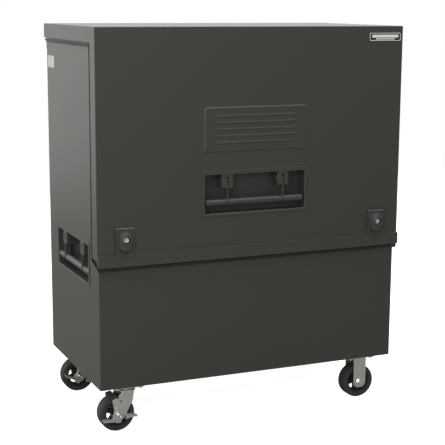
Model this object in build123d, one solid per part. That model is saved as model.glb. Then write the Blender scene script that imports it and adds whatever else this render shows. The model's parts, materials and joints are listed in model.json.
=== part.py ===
from build123d import *
import math
import os

# Upright rolling tool box with an L-shaped lid that lifts off its top and upper front.
# X runs to the right, Y to the back, Z up.  The floor is Z = 0 and the origin is the
# centre of the footprint.  All sizes are millimetres.

# ------------------------------------------------------------------ overall sizes
LID_WIDTH = 1220.0
LID_DEPTH = 656.0
BOX_HEIGHT = 1294.0
CASTOR_HEIGHT = 171.0
SHEET = 1.5
BEND_R = 2.5
SLICE = 6.0

# ------------------------------------------------------------------ lid
TOP_FLANGE = 54.0
FRONT_FLANGE = 58.0
FLANGE_DROP = 815.0
LID_DROP = 840.0
LID_BACK_STEP = 2.0
FLANGE_CORNER_R = 10.0
BODY_INSET = 9.0
BODY_FRONT_GAP = 11.5
BODY_REAR_GAP = 5.6
BODY_TOP_GAP = 12.0
PANEL_WIDTH = 410.0
PANEL_HEIGHT = 164.0
PANEL_MID_DROP = 367.0
PANEL_PROUD = 2.0
PANEL_CORNER_R = 12.0
PANEL_RIB_COUNT = 5
PANEL_RIB_PITCH = 24.0
PANEL_RIB_HEIGHT = 9.0
PANEL_RIB_MARGIN = 44.0
PANEL_RIB_PROUD = 1.0
PANEL_TAPER = 60.0
BEVEL_TAPER = 45.0
STIFFENER_X = 330.0
STIFFENER_WIDTH = 60.0
STIFFENER_DEPTH = 11.0
STIFFENER_FOOT = 16.0
STIFFENER_END_GAP = 30.0
BADGE_WIDTH = 136.0
BADGE_HEIGHT = 31.0
BADGE_THICK = 2.0
BADGE_SIDE_GAP = 10.0
BADGE_TOP_GAP = 25.0
BADGE_CORNER_R = 7.0
BADGE_EDGE_R = 0.7

# ------------------------------------------------------------------ lock rail and locks
RAIL_HEIGHT = 46.5
RAIL_PROUD = 9.0
RAIL_CORNER_R = 6.0
RAIL_STEP = 2.5
TAB_WIDTH = 76.0
TAB_RISE = 93.5
TAB_OVERLAP = 13.5
TAB_TAPER = 15.0
LOCK_EDGE = 101.0
LOCK_DROP = 741.0
HOUSING_WIDTH = 54.0
HOUSING_LENGTH = 77.0
HOUSING_BELOW_PLUG = 8.5
HOUSING_PROUD = 20.0
HOUSING_TAPER = 9.0
HOUSING_ROUND = 3.0
BOSS_R = 14.5
BOSS_PROUD = 1.5
PLUG_R = 10.5
PLUG_PROUD = 4.0
PLUG_EDGE_R = 1.0
SLEEVE_R = 12.5
SLEEVE_REACH = 12.0
SLEEVE_HOLE_GAP = 0.4
FIT = 0.05
KEY_SLOT_WIDTH = 2.4
KEY_SLOT_LENGTH = 11.0
KEY_SLOT_DEPTH = 5.0
CAM_THICK = 3.0
CAM_WIDTH = 20.0
CAM_LENGTH = 62.0
CAM_GAP = 2.0
CAM_SHANK_R = 6.0
CAM_NUT_R = 8.0
CAM_NUT_THICK = 4.0

# ------------------------------------------------------------------ hinge
HINGE_R = 4.5
HINGE_PIN_R = 2.5
HINGE_DROP = 57.0
HINGE_KNUCKLES = 25
HINGE_LEAF = 34.0
HINGE_LEAF_THICK = 1.5
HINGE_KNUCKLE_GAP = 0.4
HINGE_LEAF_GAP = 0.4
HINGE_END_GAP = 10.0
HINGE_HEAD_THICK = 1.5
HINGE_HEAD_R = 4.0

# ------------------------------------------------------------------ body
LIP_BASE_DROP = 858.0
LIP_TIP_DROP = 846.5
LIP_REACH = 14.0
LIP_THICK = 2.4
LIP_ROOT = 3.6
RIM_DROP = 790.0
WEATHER_GAP_TOP = 5.5
WEATHER_GAP_FRONT = 11.0
WEATHER_GAP_CORNER = 8.0
WEATHER_BAND = 12.0
WEATHER_THICK = 2.0
WEATHER_ROOT = 3.0
WEATHER_HOLE_R = 2.5
WEATHER_HOLE_PITCH = 176.0
WEATHER_HOLE_REAR_GAP = 39.0
WEATHER_HOLE_COUNT = 3
RETURN_WIDTH = 25.0
FLOOR_THICK = 2.0
RAIL_BAR_HEIGHT = 36.0
SHELF_HEIGHT = 700.0
SHELF_DEPTH = 420.0
SHELF_EDGE = 28.0

# ------------------------------------------------------------------ gas struts
STRUT_X = 556.0
STRUT_BODY_FORWARD = 70.0
STRUT_BODY_BELOW = 60.0
STRUT_LID_FORWARD = 420.0
STRUT_LID_ABOVE = 25.0
STRUT_TUBE_R = 11.0
STRUT_BORE_R = 9.0
STRUT_ROD_R = 5.0
STRUT_TUBE_LENGTH = 215.0
STRUT_EYE_R = 9.0
STRUT_EYE_WIDTH = 14.0
STRUT_EYE_NECK = 16.0
STRUT_PISTON_LENGTH = 12.0
STRUT_PISTON_END_GAP = 8.0
STRUT_GLAND = 10.0
STRUT_CAP = 6.0
STUD_R = 5.0
STUD_HEAD_R = 8.0
STUD_HEAD_THICK = 3.0
STUD_FACE_GAP = 0.5
WEB_GAP = 1.0
BRACKET_PLATE = 3.0
BRACKET_SIZE = 44.0
BRACKET_FOOT = 20.0
BRACKET_BELOW_STUD = 12.0

# ------------------------------------------------------------------ recessed handles
POCKET_HEIGHT = 143.5
POCKET_DEPTH = 52.0
POCKET_FLANGE_TOP = 14.5
POCKET_FLANGE_SIDE = 10.5
POCKET_FLANGE_BOTTOM = 10.0
POCKET_PROUD = 2.5
POCKET_CORNER_R = 4.0
POCKET_HOLE_GAP = 0.5
FRONT_POCKET_WIDTH = 405.0
FRONT_POCKET_DROP = 529.5
SIDE_POCKET_WIDTH = 400.0
SIDE_POCKET_BOTTOM = 368.5
BAR_R = 13.5
BAR_EDGE_R = 1.4
BAR_END_GAP = 7.0
BAR_ABOVE_BOTTOM = 39.0
BAR_BEHIND_FACE = 13.0
BRACKET_SPACING = 224.0
HANGER_WIDTH = 46.0
HANGER_HEIGHT = 50.0
HANGER_THICK = 2.5
HANGER_BEHIND_FACE = 0.5
HANGER_TOP_GAP = 0.5
HANGER_FOOT = 12.0
ARM_THICK = 6.0
ARM_WIDTH = 22.0
ARM_SLOT = 9.0
ARM_SWING_GAP = 3.0
ARM_NOSE = 1.2
PIVOT_DROP = 25.0
PIVOT_BEHIND_HANGER = 10.0
PIVOT_R = 4.0
PIVOT_HEAD_R = 6.5
PIVOT_HEAD_THICK = 3.5
FOOT_SCREW_R = 3.0
FOOT_SCREW_HEAD_R = 4.5
FOOT_SCREW_HEAD = 2.5
FOOT_SCREW_PITCH = 26.0

# ------------------------------------------------------------------ castors
CASTOR_SIDE_INSET = 113.0
RIGID_SIDE_INSET = 120.0
CASTOR_FRONT_INSET = 54.5
CASTOR_REAR_INSET = 90.0
PLATE_LENGTH = 115.0
PLATE_WIDTH = 100.0
PLATE_THICK = 4.0
PLATE_CORNER_R = 8.0
BOLT_PITCH_X = 92.0
BOLT_PITCH_Y = 72.0
BOLT_R = 4.0
BOLT_HOLE_R = 4.5
BOLT_HEAD_R = 7.5
BOLT_HEAD = 8.0
BOLT_NUT = 6.5
WHEEL_R = 66.0
TYRE_WIDTH = 50.0
TYRE_EDGE_R = 6.0
RIM_R = 46.0
RIM_INNER_R = 41.0
RIM_WIDTH = 40.0
HUB_R = 17.0
SPOKE_COUNT = 5
SPOKE_WIDTH_HUB = 24.0
SPOKE_WIDTH_RIM = 15.0
SPOKE_THICK = 13.0
SPOKE_START = 67.0
AXLE_R = 6.0
LEG_INNER = 31.0
LEG_THICK = 4.0
HUB_SIDE_GAP = 0.4
TRAIL = 40.0
RACE_R = 34.0
RACE_DEPTH = 12.0
RACE_GAP = 0.4
CROWN_THICK = 5.0
CROWN_LENGTH = 43.0
KINGPIN_R = 8.0
KINGPIN_HEAD_R = 13.0
KINGPIN_HEAD = 6.0
FORK_FRONT = 17.0
FORK_HOLE_R = 3.5
FORK_HOLE_RISE = 48.5
FORK_HOLE_SHIFT = 11.0
# X, Z and radius, from the axle, of the circles that the fork leg is drawn tight round.
FORK_OUTLINE = (
    (0.0, 0.0, 15.0), (8.0, 0.0, 20.0), (15.5, 67.0, 12.0), (27.0, 82.6, 6.0),
    (55.0, 82.6, 6.0), (49.5, 49.0, 6.0))
RIGID_LEG_WIDTH = 54.0
RIGID_LEG_END = 24.0
RIGID_LEG_R = 22.0
BRAKE_GAP = 0.4
BRAKE_PLATE = 3.0
BRAKE_STRAP_GAP = 2.5
BRAKE_STRAP_THICK = 3.0
BRAKE_STRAP_FROM = 95.0
BRAKE_STRAP_TO = 114.0
BRAKE_FAR_EYE_R = 13.0
BRAKE_RIVET_R = 5.0
BRAKE_RIVET_PROUD = 2.0
BRAKE_RIVET_BACK = 5.5
BRAKE_RIVET_RISE = 24.5
WING_REACH = 17.0
WING_THICK = 3.0
REAR_WING_DROP = 8.0
FRONT_WING_DROP = 9.0
BRAKE_ROOT_R = 40.0
REAR_PEDAL_TURN = -22.0
# Radius and angle about the axle: the near plate's outline below the strap, and both treads.
BRAKE_OUTLINE = (
    (65.5, 96.6), (57.0, 88.0), (47.9, 79.2), (28.0, 68.0), (23.0, 24.3), (23.8, 5.5),
    (25.8, -32.3), (23.1, -60.1), (32.2, -71.9), (32.5, -109.8), (23.9, -123.0),
    (27.9, -135.7), (23.3, -165.1), (20.2, 156.6), (27.0, 129.0), (62.4, 112.5))
REAR_WING = ((22.6, -150.0), (43.7, -166.7), (64.8, -171.1))
FRONT_WING = ((22.6, 5.8), (46.0, 2.2), (67.5, -3.2))
WASHER_R = 14.5
WASHER_THICK = 1.5
AXLE_HEAD_R = 11.0
AXLE_HEAD = 6.5

# ------------------------------------------------------------------ worked-out places
LOCK_PROUD = RAIL_PROUD + HOUSING_PROUD + PLUG_PROUD
TOTAL_DEPTH = LOCK_PROUD + LID_DEPTH + 2 * HINGE_R
LID_X = LID_WIDTH / 2
LID_FRONT = LOCK_PROUD - TOTAL_DEPTH / 2
LID_REAR = LID_FRONT + LID_DEPTH
LID_TOP = CASTOR_HEIGHT + BOX_HEIGHT
BODY_X = LID_X - BODY_INSET
BODY_FRONT = LID_FRONT + BODY_FRONT_GAP
BODY_REAR = LID_REAR - BODY_REAR_GAP
BODY_BOTTOM = CASTOR_HEIGHT
BODY_TOP = LID_TOP - BODY_TOP_GAP
RIM_TOP = LID_TOP - RIM_DROP
HINGE_Y = LID_REAR + HINGE_R
HINGE_Z = LID_TOP - HINGE_DROP
HINGE_LENGTH = LID_WIDTH - 2 * HINGE_END_GAP
LOCK_X = LID_X - LOCK_EDGE
LOCK_Z = LID_TOP - LOCK_DROP
FRONT_POCKET_Z = LID_TOP - FRONT_POCKET_DROP - POCKET_HEIGHT / 2
SIDE_POCKET_Z = BODY_BOTTOM + SIDE_POCKET_BOTTOM + POCKET_HEIGHT / 2
SIDE_POCKET_Y = (BODY_FRONT + BODY_REAR) / 2
SWIVEL_X = CASTOR_SIDE_INSET - BODY_X
RIGID_X = BODY_X - RIGID_SIDE_INSET
CASTOR_FRONT_Y = BODY_FRONT + CASTOR_FRONT_INSET
CASTOR_REAR_Y = BODY_REAR - CASTOR_REAR_INSET
AXLE_DROP = CASTOR_HEIGHT - WHEEL_R
FAR = 4000.0
TINY = 1.0


# ------------------------------------------------------------------ plain helpers
def block(x0, x1, y0, y1, z0, z1):
    """A box between two corners."""
    centre = Pos((x0 + x1) / 2, (y0 + y1) / 2, (z0 + z1) / 2)
    return centre * Box(x1 - x0, y1 - y0, z1 - z0)


def rod_x(radius, x0, x1, y, z):
    """A round bar along X."""
    return Pos((x0 + x1) / 2, y, z) * Rot(0, 90, 0) * Cylinder(radius, x1 - x0)


def rod_y(radius, y0, y1, x, z):
    """A round bar along Y."""
    return Pos(x, (y0 + y1) / 2, z) * Rot(90, 0, 0) * Cylinder(radius, y1 - y0)


def rod_z(radius, z0, z1, x, y):
    """A round bar along Z."""
    return Pos(x, y, (z0 + z1) / 2) * Cylinder(radius, z1 - z0)


def prism_x(points, x0, x1):
    """A prism along X whose outline is given as (y, z) points."""
    plane = Plane(origin=(x0, 0, 0), x_dir=(0, 1, 0), z_dir=(1, 0, 0))
    return extrude(plane * make_face(Polyline(*points, close=True)), amount=x1 - x0)


def prism_y(points, y0, y1):
    """A prism along Y whose outline is given as (x, z) points."""
    plane = Plane(origin=(0, y1, 0), x_dir=(1, 0, 0), z_dir=(0, -1, 0))
    return extrude(plane * make_face(Polyline(*points, close=True)), amount=y1 - y0)


def wall_plane(y):
    """A sketch plane across the box at depth y, drawn in X and Z and facing forward."""
    return Plane(origin=(0, y, 0), x_dir=(1, 0, 0), z_dir=(0, -1, 0))


def hexagon_y(radius, y0, y1, x, z):
    """A hexagon nut or head along Y."""
    outline = wall_plane(y1) * Pos(x, z) * RegularPolygon(radius, 6)
    return extrude(outline, amount=y1 - y0)


def hexagon_z(radius, z0, z1, x, y):
    """A hexagon nut or head along Z."""
    return extrude(Pos(x, y, z0) * RegularPolygon(radius, 6), amount=z1 - z0)


def save(name, *pieces):
    """Write one sub-part; several pieces become a group of separate solids."""
    solids = []
    for piece in pieces:
        solids.extend(piece.solids())
    shape = solids[0]
    if len(solids) > 1:
        shape = Compound(children=solids)
    shape.label = name
    export_step(shape, f"parts/{name}.step")


# ------------------------------------------------------------------ lid
def lid_shell():
    """The folded lid sheet: an L-shaped box, open underneath and behind."""
    outline = [
        (LID_FRONT, LID_TOP),
        (LID_REAR, LID_TOP),
        (LID_REAR, LID_TOP - TOP_FLANGE),
        (LID_FRONT + FRONT_FLANGE, LID_TOP - TOP_FLANGE),
        (LID_FRONT + FRONT_FLANGE, LID_TOP - FLANGE_DROP),
        (LID_FRONT, LID_TOP - FLANGE_DROP),
    ]
    outer = prism_x(outline, -LID_X, LID_X)
    corner = outer.edges().filter_by(Axis.X).sort_by_distance(
        (0, LID_FRONT + FRONT_FLANGE, LID_TOP - FLANGE_DROP))[0]
    outer = fillet(corner, FLANGE_CORNER_R)
    bends = []
    for edge in outer.edges():
        middle = edge.center()
        on_side = abs(abs(middle.X) - LID_X) < TINY
        on_top = abs(middle.Z - LID_TOP) < TINY
        on_front = abs(middle.Y - LID_FRONT) < TINY
        on_rear = abs(middle.Y - LID_REAR) < TINY
        if [on_side, on_top, on_front, on_rear].count(True) >= 2:
            bends.append(edge)
    outer = fillet(bends, BEND_R)
    hollow = block(
        SHEET - LID_X, LID_X - SHEET,
        LID_FRONT + SHEET, LID_REAR - SHEET,
        LID_TOP - FAR, LID_TOP - SHEET)
    return outer - hollow


def lid_panels():
    """Split the lid sheet into top, front and side panels that meet inside the bends."""
    shell = lid_shell()
    slab_top = LID_TOP - SLICE
    slab_front = LID_FRONT + SLICE
    slab_rear = LID_REAR - SLICE
    top_zone = block(-FAR, FAR, -FAR, FAR, slab_top, LID_TOP + TINY)
    rear_zone = block(-FAR, FAR, slab_rear, FAR, 0, LID_TOP + TINY)
    front_zone = block(-FAR, FAR, -FAR, slab_front, 0, slab_top)
    left_zone = block(-FAR, 0, slab_front, slab_rear, 0, slab_top)
    right_zone = block(0, FAR, slab_front, slab_rear, 0, slab_top)
    save("lid_top", shell & (top_zone + rear_zone))
    save("lid_flange_left", shell & left_zone)
    save("lid_flange_right", shell & right_zone)
    save("lid_front", lid_front(shell & front_zone))


def lid_front(sheet):
    """The front sheet with its lower edge, pressed panel, handle and lock openings."""
    low_edge = block(
        -LID_X, LID_X, LID_FRONT, LID_FRONT + SHEET,
        LID_TOP - LID_DROP + LID_BACK_STEP, LID_TOP - FLANGE_DROP)
    sheet = sheet + low_edge + pressed_panel()
    opening = SHEET + POCKET_HOLE_GAP
    sheet = sheet - block(
        -FRONT_POCKET_WIDTH / 2 - opening, FRONT_POCKET_WIDTH / 2 + opening,
        LID_FRONT - TINY, LID_FRONT + 2 * SHEET,
        FRONT_POCKET_Z - POCKET_HEIGHT / 2 - opening,
        FRONT_POCKET_Z + POCKET_HEIGHT / 2 + opening)
    for side in (-1, 1):
        sheet = sheet - rod_y(
            SLEEVE_R + SLEEVE_HOLE_GAP, LID_FRONT - TINY, LID_FRONT + 2 * SHEET,
            side * LOCK_X, LOCK_Z)
    return sheet


def pressed_panel():
    """A raised rounded panel with plain level ribs, pressed out of the front sheet."""
    centre = Pos(0, LID_TOP - PANEL_MID_DROP)
    raised = wall_plane(LID_FRONT) * centre * RectangleRounded(
        PANEL_WIDTH, PANEL_HEIGHT, PANEL_CORNER_R)
    panel = extrude(raised, amount=PANEL_PROUD, taper=PANEL_TAPER)
    first = -(PANEL_RIB_COUNT - 1) / 2 * PANEL_RIB_PITCH
    for index in range(PANEL_RIB_COUNT):
        level = Pos(0, first + index * PANEL_RIB_PITCH)
        rib = wall_plane(LID_FRONT - PANEL_PROUD) * centre * level * SlotOverall(
            PANEL_WIDTH - 2 * PANEL_RIB_MARGIN, PANEL_RIB_HEIGHT)
        panel = panel + extrude(rib, amount=PANEL_RIB_PROUD, taper=BEVEL_TAPER)
    return panel


def lid_stiffeners():
    """Two upright hat channels behind the lid front."""
    back = LID_FRONT + SHEET
    half = STIFFENER_WIDTH / 2
    web = half - STIFFENER_FOOT
    deep = back + STIFFENER_DEPTH
    pieces = []
    for side in (-1, 1):
        x = side * STIFFENER_X
        outline = [
            (x - half, back), (x - web, back), (x - web, deep - SHEET),
            (x + web, deep - SHEET), (x + web, back), (x + half, back),
            (x + half, back + SHEET), (x + web + SHEET, back + SHEET),
            (x + web + SHEET, deep), (x - web - SHEET, deep),
            (x - web - SHEET, back + SHEET), (x - half, back + SHEET),
        ]
        face = make_face(Polyline(*outline, close=True))
        low = RIM_TOP + STIFFENER_END_GAP
        length = LID_TOP - SHEET - STIFFENER_END_GAP - low
        pieces.append(extrude(Pos(0, 0, low) * face, amount=length))
    save("lid_stiffeners", *pieces)


def lock_rail():
    """The raised rail along the lid's lower edge, with a tab up to each lock."""
    low = LID_TOP - LID_DROP
    high = low + RAIL_HEIGHT
    face = LID_FRONT - RAIL_PROUD
    solid = [
        (LID_FRONT, high), (face, high - RAIL_STEP), (face, low), (LID_FRONT, low)]
    hollow = [(y + SHEET, z - SHEET) for y, z in solid]
    hollow[2] = (face + SHEET, low - TINY)
    hollow[3] = (LID_FRONT + SHEET, low - TINY)
    rail = prism_x(solid, -LID_X, LID_X)
    front_corners = rail.edges().filter_by(Axis.Y).group_by(Axis.Z)[0]
    rail = fillet(front_corners, RAIL_CORNER_R)
    rail = rail - prism_x(hollow, SHEET - LID_X, LID_X - SHEET)
    for side in (-1, 1):
        rail = rail + lock_tab(side, high)
    for side in (-1, 1):
        rail = rail - rod_y(
            SLEEVE_R + SLEEVE_HOLE_GAP, face - TINY, LID_FRONT + TINY,
            side * LOCK_X, LOCK_Z)
    save("lock_rail", rail)


def lock_tab(side, low):
    """One raised tab with steep edges; it runs down into the rail."""
    height = TAB_RISE + TAB_OVERLAP
    middle = low + TAB_RISE - height / 2
    place = Pos(side * LOCK_X, middle)
    outer = wall_plane(LID_FRONT) * place * Rectangle(TAB_WIDTH, height)
    inner = wall_plane(LID_FRONT + SHEET) * place * Rectangle(
        TAB_WIDTH - 2 * SHEET, height - 2 * SHEET)
    solid = extrude(outer, amount=RAIL_PROUD, taper=TAB_TAPER)
    hollow = extrude(inner, amount=RAIL_PROUD, taper=TAB_TAPER)
    below = block(-FAR, FAR, -FAR, FAR, 0, low - RAIL_PROUD)
    return solid - hollow - below


def badge():
    """A plain rounded name plate with no lettering."""
    x = LID_X - BADGE_SIDE_GAP - BADGE_WIDTH / 2
    z = LID_TOP - BADGE_TOP_GAP - BADGE_HEIGHT / 2
    outline = Pos(x, z) * RectangleRounded(BADGE_WIDTH, BADGE_HEIGHT, BADGE_CORNER_R)
    plate = extrude(wall_plane(LID_FRONT) * outline, amount=BADGE_THICK)
    front = plate.faces().sort_by(Axis.Y)[0]
    plate = fillet(front.edges(), BADGE_EDGE_R)
    save("badge", plate)


# ------------------------------------------------------------------ locks
def lock(side, name):
    """Housing, key plug and cam of one lock.  The cam rests level, towards the middle."""
    x = side * LOCK_X
    seat = LID_FRONT - RAIL_PROUD
    face = seat - HOUSING_PROUD
    centre = Pos(x, LOCK_Z - HOUSING_BELOW_PLUG)
    outline = centre * Rot(0, 0, 90) * SlotOverall(HOUSING_LENGTH, HOUSING_WIDTH)
    housing = extrude(wall_plane(seat) * outline, amount=HOUSING_PROUD, taper=HOUSING_TAPER)
    housing = fillet(housing.faces().sort_by(Axis.Y)[0].edges(), HOUSING_ROUND)
    housing = housing + rod_y(BOSS_R, face - BOSS_PROUD, face + BOSS_PROUD, x, LOCK_Z)
    sleeve_end = LID_FRONT + SLEEVE_REACH
    housing = housing + rod_y(SLEEVE_R, seat, sleeve_end, x, LOCK_Z)
    housing = housing - rod_y(PLUG_R + FIT, face - FAR, sleeve_end + TINY, x, LOCK_Z)
    save(f"{name}_lock_housing", housing)

    front = face - PLUG_PROUD
    cam_y = sleeve_end + CAM_GAP
    plug = rod_y(PLUG_R, front, sleeve_end, x, LOCK_Z)
    plug = fillet(plug.edges().sort_by(Axis.Y)[0], PLUG_EDGE_R)
    plug = plug + rod_y(CAM_SHANK_R, sleeve_end, cam_y + CAM_THICK, x, LOCK_Z)
    plug = plug - block(
        x - KEY_SLOT_WIDTH / 2, x + KEY_SLOT_WIDTH / 2, front - TINY, front + KEY_SLOT_DEPTH,
        LOCK_Z - KEY_SLOT_LENGTH / 2, LOCK_Z + KEY_SLOT_LENGTH / 2)
    plug = plug + hexagon_y(
        CAM_NUT_R, cam_y + CAM_THICK, cam_y + CAM_THICK + CAM_NUT_THICK, x, LOCK_Z)
    save(f"{name}_lock_plug", plug)

    reach = CAM_LENGTH - CAM_WIDTH / 2
    middle = Pos(x - side * reach / 2, LOCK_Z)
    blade = wall_plane(cam_y + CAM_THICK) * middle * SlotCenterToCenter(reach, CAM_WIDTH)
    cam = extrude(blade, amount=CAM_THICK)
    cam = cam - rod_y(CAM_SHANK_R, cam_y - TINY, cam_y + 2 * CAM_THICK, x, LOCK_Z)
    save(f"{name}_lock_cam", cam)


# ------------------------------------------------------------------ hinge
def hinge_leaf(upward):
    """One leaf with its knuckles; the even knuckles, ends included, are the body's."""
    pitch = HINGE_LENGTH / HINGE_KNUCKLES
    sign = 1 if upward else -1
    y0 = LID_REAR
    y1 = LID_REAR + HINGE_LEAF_THICK
    near = HINGE_Z + sign * (HINGE_R + HINGE_LEAF_GAP)
    far = HINGE_Z + sign * (HINGE_R + HINGE_LEAF)
    leaf = block(-HINGE_LENGTH / 2, HINGE_LENGTH / 2, y0, y1, min(near, far), max(near, far))
    start = 1 if upward else 0
    for index in range(start, HINGE_KNUCKLES, 2):
        x0 = -HINGE_LENGTH / 2 + index * pitch + HINGE_KNUCKLE_GAP / 2
        x1 = x0 + pitch - HINGE_KNUCKLE_GAP
        tongue_z = sorted((HINGE_Z, near))
        leaf = leaf + block(x0, x1, y0, y1, tongue_z[0], tongue_z[1])
        leaf = leaf + rod_x(HINGE_R, x0, x1, HINGE_Y, HINGE_Z)
    bore = rod_x(HINGE_PIN_R + FIT, -HINGE_LENGTH, HINGE_LENGTH, HINGE_Y, HINGE_Z)
    return leaf - bore


def hinge():
    """A full-length piano hinge across the back of the lid."""
    save("hinge_leaf_lid", hinge_leaf(True))
    save("hinge_leaf_body", hinge_leaf(False))
    half = HINGE_LENGTH / 2 - HINGE_KNUCKLE_GAP / 2
    pin = rod_x(HINGE_PIN_R, -half, half, HINGE_Y, HINGE_Z)
    for side in (-1, 1):
        inner = side * half
        outer = side * (half + HINGE_HEAD_THICK)
        ends = sorted((inner, outer))
        pin = pin + rod_x(HINGE_HEAD_R, ends[0], ends[1], HINGE_Y, HINGE_Z)
    save("hinge_pin", pin)


# ------------------------------------------------------------------ body
def body_shell():
    """Four walls with bent upright corners, open at the top and bottom."""
    outer = block(-BODY_X, BODY_X, BODY_FRONT, BODY_REAR, BODY_BOTTOM, BODY_TOP)
    outer = fillet(outer.edges().filter_by(Axis.Z), BEND_R)
    hollow = block(
        SHEET - BODY_X, BODY_X - SHEET, BODY_FRONT + SHEET, BODY_REAR - SHEET, 0, FAR)
    return outer - hollow


def body_panels():
    """Split the walls into front, back and side panels that meet inside the bends."""
    shell = body_shell()
    near = BODY_FRONT + SLICE
    far = BODY_REAR - SLICE
    front = shell & block(-FAR, FAR, -FAR, near, 0, RIM_TOP)
    save("front_panel", front + front_lip())
    save("back_panel", shell & block(-FAR, FAR, far, FAR, 0, FAR))
    for side, name in ((-1, "left"), (1, "right")):
        edge = sorted((side * FAR, 0))
        panel = shell & block(edge[0], edge[1], near, far, 0, FAR)
        strip = sorted((side * FAR, side * (BODY_X - RETURN_WIDTH)))
        panel = panel + (shell & block(strip[0], strip[1], -FAR, near, RIM_TOP, FAR))
        ledge = sorted((side * (BODY_X - SHEET), side * (BODY_X - SHEET - RETURN_WIDTH)))
        panel = panel + block(
            ledge[0], ledge[1], BODY_FRONT + SHEET, BODY_REAR - SHEET,
            BODY_TOP - SHEET, BODY_TOP)
        panel = panel - side_opening(side)
        save(f"side_panel_{name}", panel)


def side_opening(side):
    """The cut in a side panel that a handle pocket passes through."""
    opening = SHEET + POCKET_HOLE_GAP
    half = SIDE_POCKET_WIDTH / 2 + opening
    span = sorted((side * (BODY_X - 2 * SHEET), side * (BODY_X + TINY)))
    return block(
        span[0], span[1], SIDE_POCKET_Y - half, SIDE_POCKET_Y + half,
        SIDE_POCKET_Z - POCKET_HEIGHT / 2 - opening,
        SIDE_POCKET_Z + POCKET_HEIGHT / 2 + opening)


def front_lip():
    """The sloping lip under the lid's lower edge, folded out of the front panel."""
    base = LID_TOP - LIP_BASE_DROP
    tip = LID_TOP - LIP_TIP_DROP
    reach = BODY_FRONT - LIP_REACH
    outline = [
        (BODY_FRONT, base),
        (reach, tip - LIP_THICK / 2),
        (reach, tip),
        (reach + LIP_THICK, tip),
        (BODY_FRONT, base + LIP_ROOT),
    ]
    return prism_x(outline, -BODY_X, BODY_X)


def weather_lip(side):
    """A lip that follows the lid flange's edge just below and behind it."""
    out = side * LID_X
    root = side * BODY_X
    gap_z = LID_TOP - TOP_FLANGE - WEATHER_GAP_TOP
    gap_y = LID_FRONT + FRONT_FLANGE + WEATHER_GAP_FRONT
    low_z = LID_TOP - FLANGE_DROP - WEATHER_GAP_CORNER
    tip_y = BODY_FRONT - LIP_REACH
    tip_z = LID_TOP - LIP_TIP_DROP
    path = [(BODY_REAR, gap_z), (gap_y, gap_z), (gap_y, low_z), (tip_y, tip_z)]
    lip = None
    last = len(path) - 2
    for index in range(last + 1):
        before = 2 * WEATHER_BAND if index > 0 else 0
        after = 2 * WEATHER_BAND if index < last else 0
        piece = lip_run(path[index], path[index + 1], root, out, before, after)
        if index > 0:
            piece = piece & mitre(path, index, True)
        if index < last:
            piece = piece & mitre(path, index + 1, False)
        lip = piece if lip is None else lip + piece
    for index in range(WEATHER_HOLE_COUNT):
        y = BODY_REAR - WEATHER_HOLE_REAR_GAP + BODY_REAR_GAP - index * WEATHER_HOLE_PITCH
        z = gap_z - WEATHER_BAND + 2 * WEATHER_HOLE_R
        ends = sorted((side * (BODY_X - TINY), side * (LID_X + TINY)))
        lip = lip - rod_x(WEATHER_HOLE_R, ends[0], ends[1], y, z)
    return lip


def lip_run(start, end, root, out, before, after):
    """One straight run of the lip: a sloping strip from the wall out to its tip."""
    along = Vector(0, end[0] - start[0], end[1] - start[1])
    length = along.length
    along = along.normalized()
    outward = Vector(1 if out > 0 else -1, 0, 0)
    inward = Vector(0, along.Z, -along.Y) * (-1)
    reach = abs(out) - abs(root)
    origin = Vector(root, start[0], start[1]) - along * before
    plane = Plane(origin=origin, x_dir=outward, z_dir=along)
    flip = 1 if plane.y_dir.dot(inward) > 0 else -1
    thick = WEATHER_THICK
    outline = [
        (0, flip * WEATHER_BAND),
        (reach, flip * thick / 2),
        (reach, 0),
        (reach - thick, 0),
        (0, flip * (WEATHER_BAND - WEATHER_ROOT)),
    ]
    face = plane * make_face(Polyline(*outline, close=True))
    return extrude(face, amount=before + length + after)


def mitre(path, corner, after):
    """The half-space on one side of the bisecting plane at a corner of the path."""
    here = Vector(0, *path[corner])
    before = (here - Vector(0, *path[corner - 1])).normalized()
    following = (Vector(0, *path[corner + 1]) - here).normalized()
    normal = (before + following).normalized()
    if not after:
        normal = normal * -1
    plane = Plane(origin=here, x_dir=(1, 0, 0), z_dir=normal)
    return extrude(plane * Rectangle(2 * FAR, 2 * FAR), amount=FAR)


def body_details():
    """Floor, hinge rail, shelf and weather lips."""
    inner_x = BODY_X - SHEET
    floor = block(
        -inner_x, inner_x, BODY_FRONT + SHEET, BODY_REAR - SHEET,
        BODY_BOTTOM, BODY_BOTTOM + FLOOR_THICK)
    for x, y in castor_places():
        for dx, dy in bolt_places():
            floor = floor - rod_z(
                BOLT_HOLE_R, BODY_BOTTOM - TINY, BODY_BOTTOM + 2 * FLOOR_THICK,
                x + dx, y + dy)
    save("floor_panel", floor)
    rail_top = HINGE_Z - HINGE_R - HINGE_LEAF_GAP
    save("hinge_rail", block(
        -HINGE_LENGTH / 2, HINGE_LENGTH / 2, BODY_REAR, LID_REAR,
        rail_top - RAIL_BAR_HEIGHT, rail_top))
    save("weather_lips", weather_lip(-1), weather_lip(1))
    save("shelf", shelf())


def shelf():
    """A folded tray shelf, screwed to the back and side panels by its turned-down edges."""
    half = BODY_X - SHEET
    back = BODY_REAR - SHEET
    front = back - SHELF_DEPTH
    top = BODY_BOTTOM + SHELF_HEIGHT
    tray = block(-half, half, front, back, top - SHELF_EDGE, top)
    return tray - block(
        SHEET - half, half - SHEET, front + SHEET, back - SHEET,
        top - SHELF_EDGE - TINY, top - SHEET)


# ------------------------------------------------------------------ gas struts
def strut_points(side):
    """Where a strut meets the body stud and the lid stud, with the lid closed."""
    x = side * STRUT_X
    low = Vector(x, HINGE_Y - STRUT_BODY_FORWARD, HINGE_Z - STRUT_BODY_BELOW)
    high = Vector(x, HINGE_Y - STRUT_LID_FORWARD, HINGE_Z + STRUT_LID_ABOVE)
    return low, high


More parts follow.
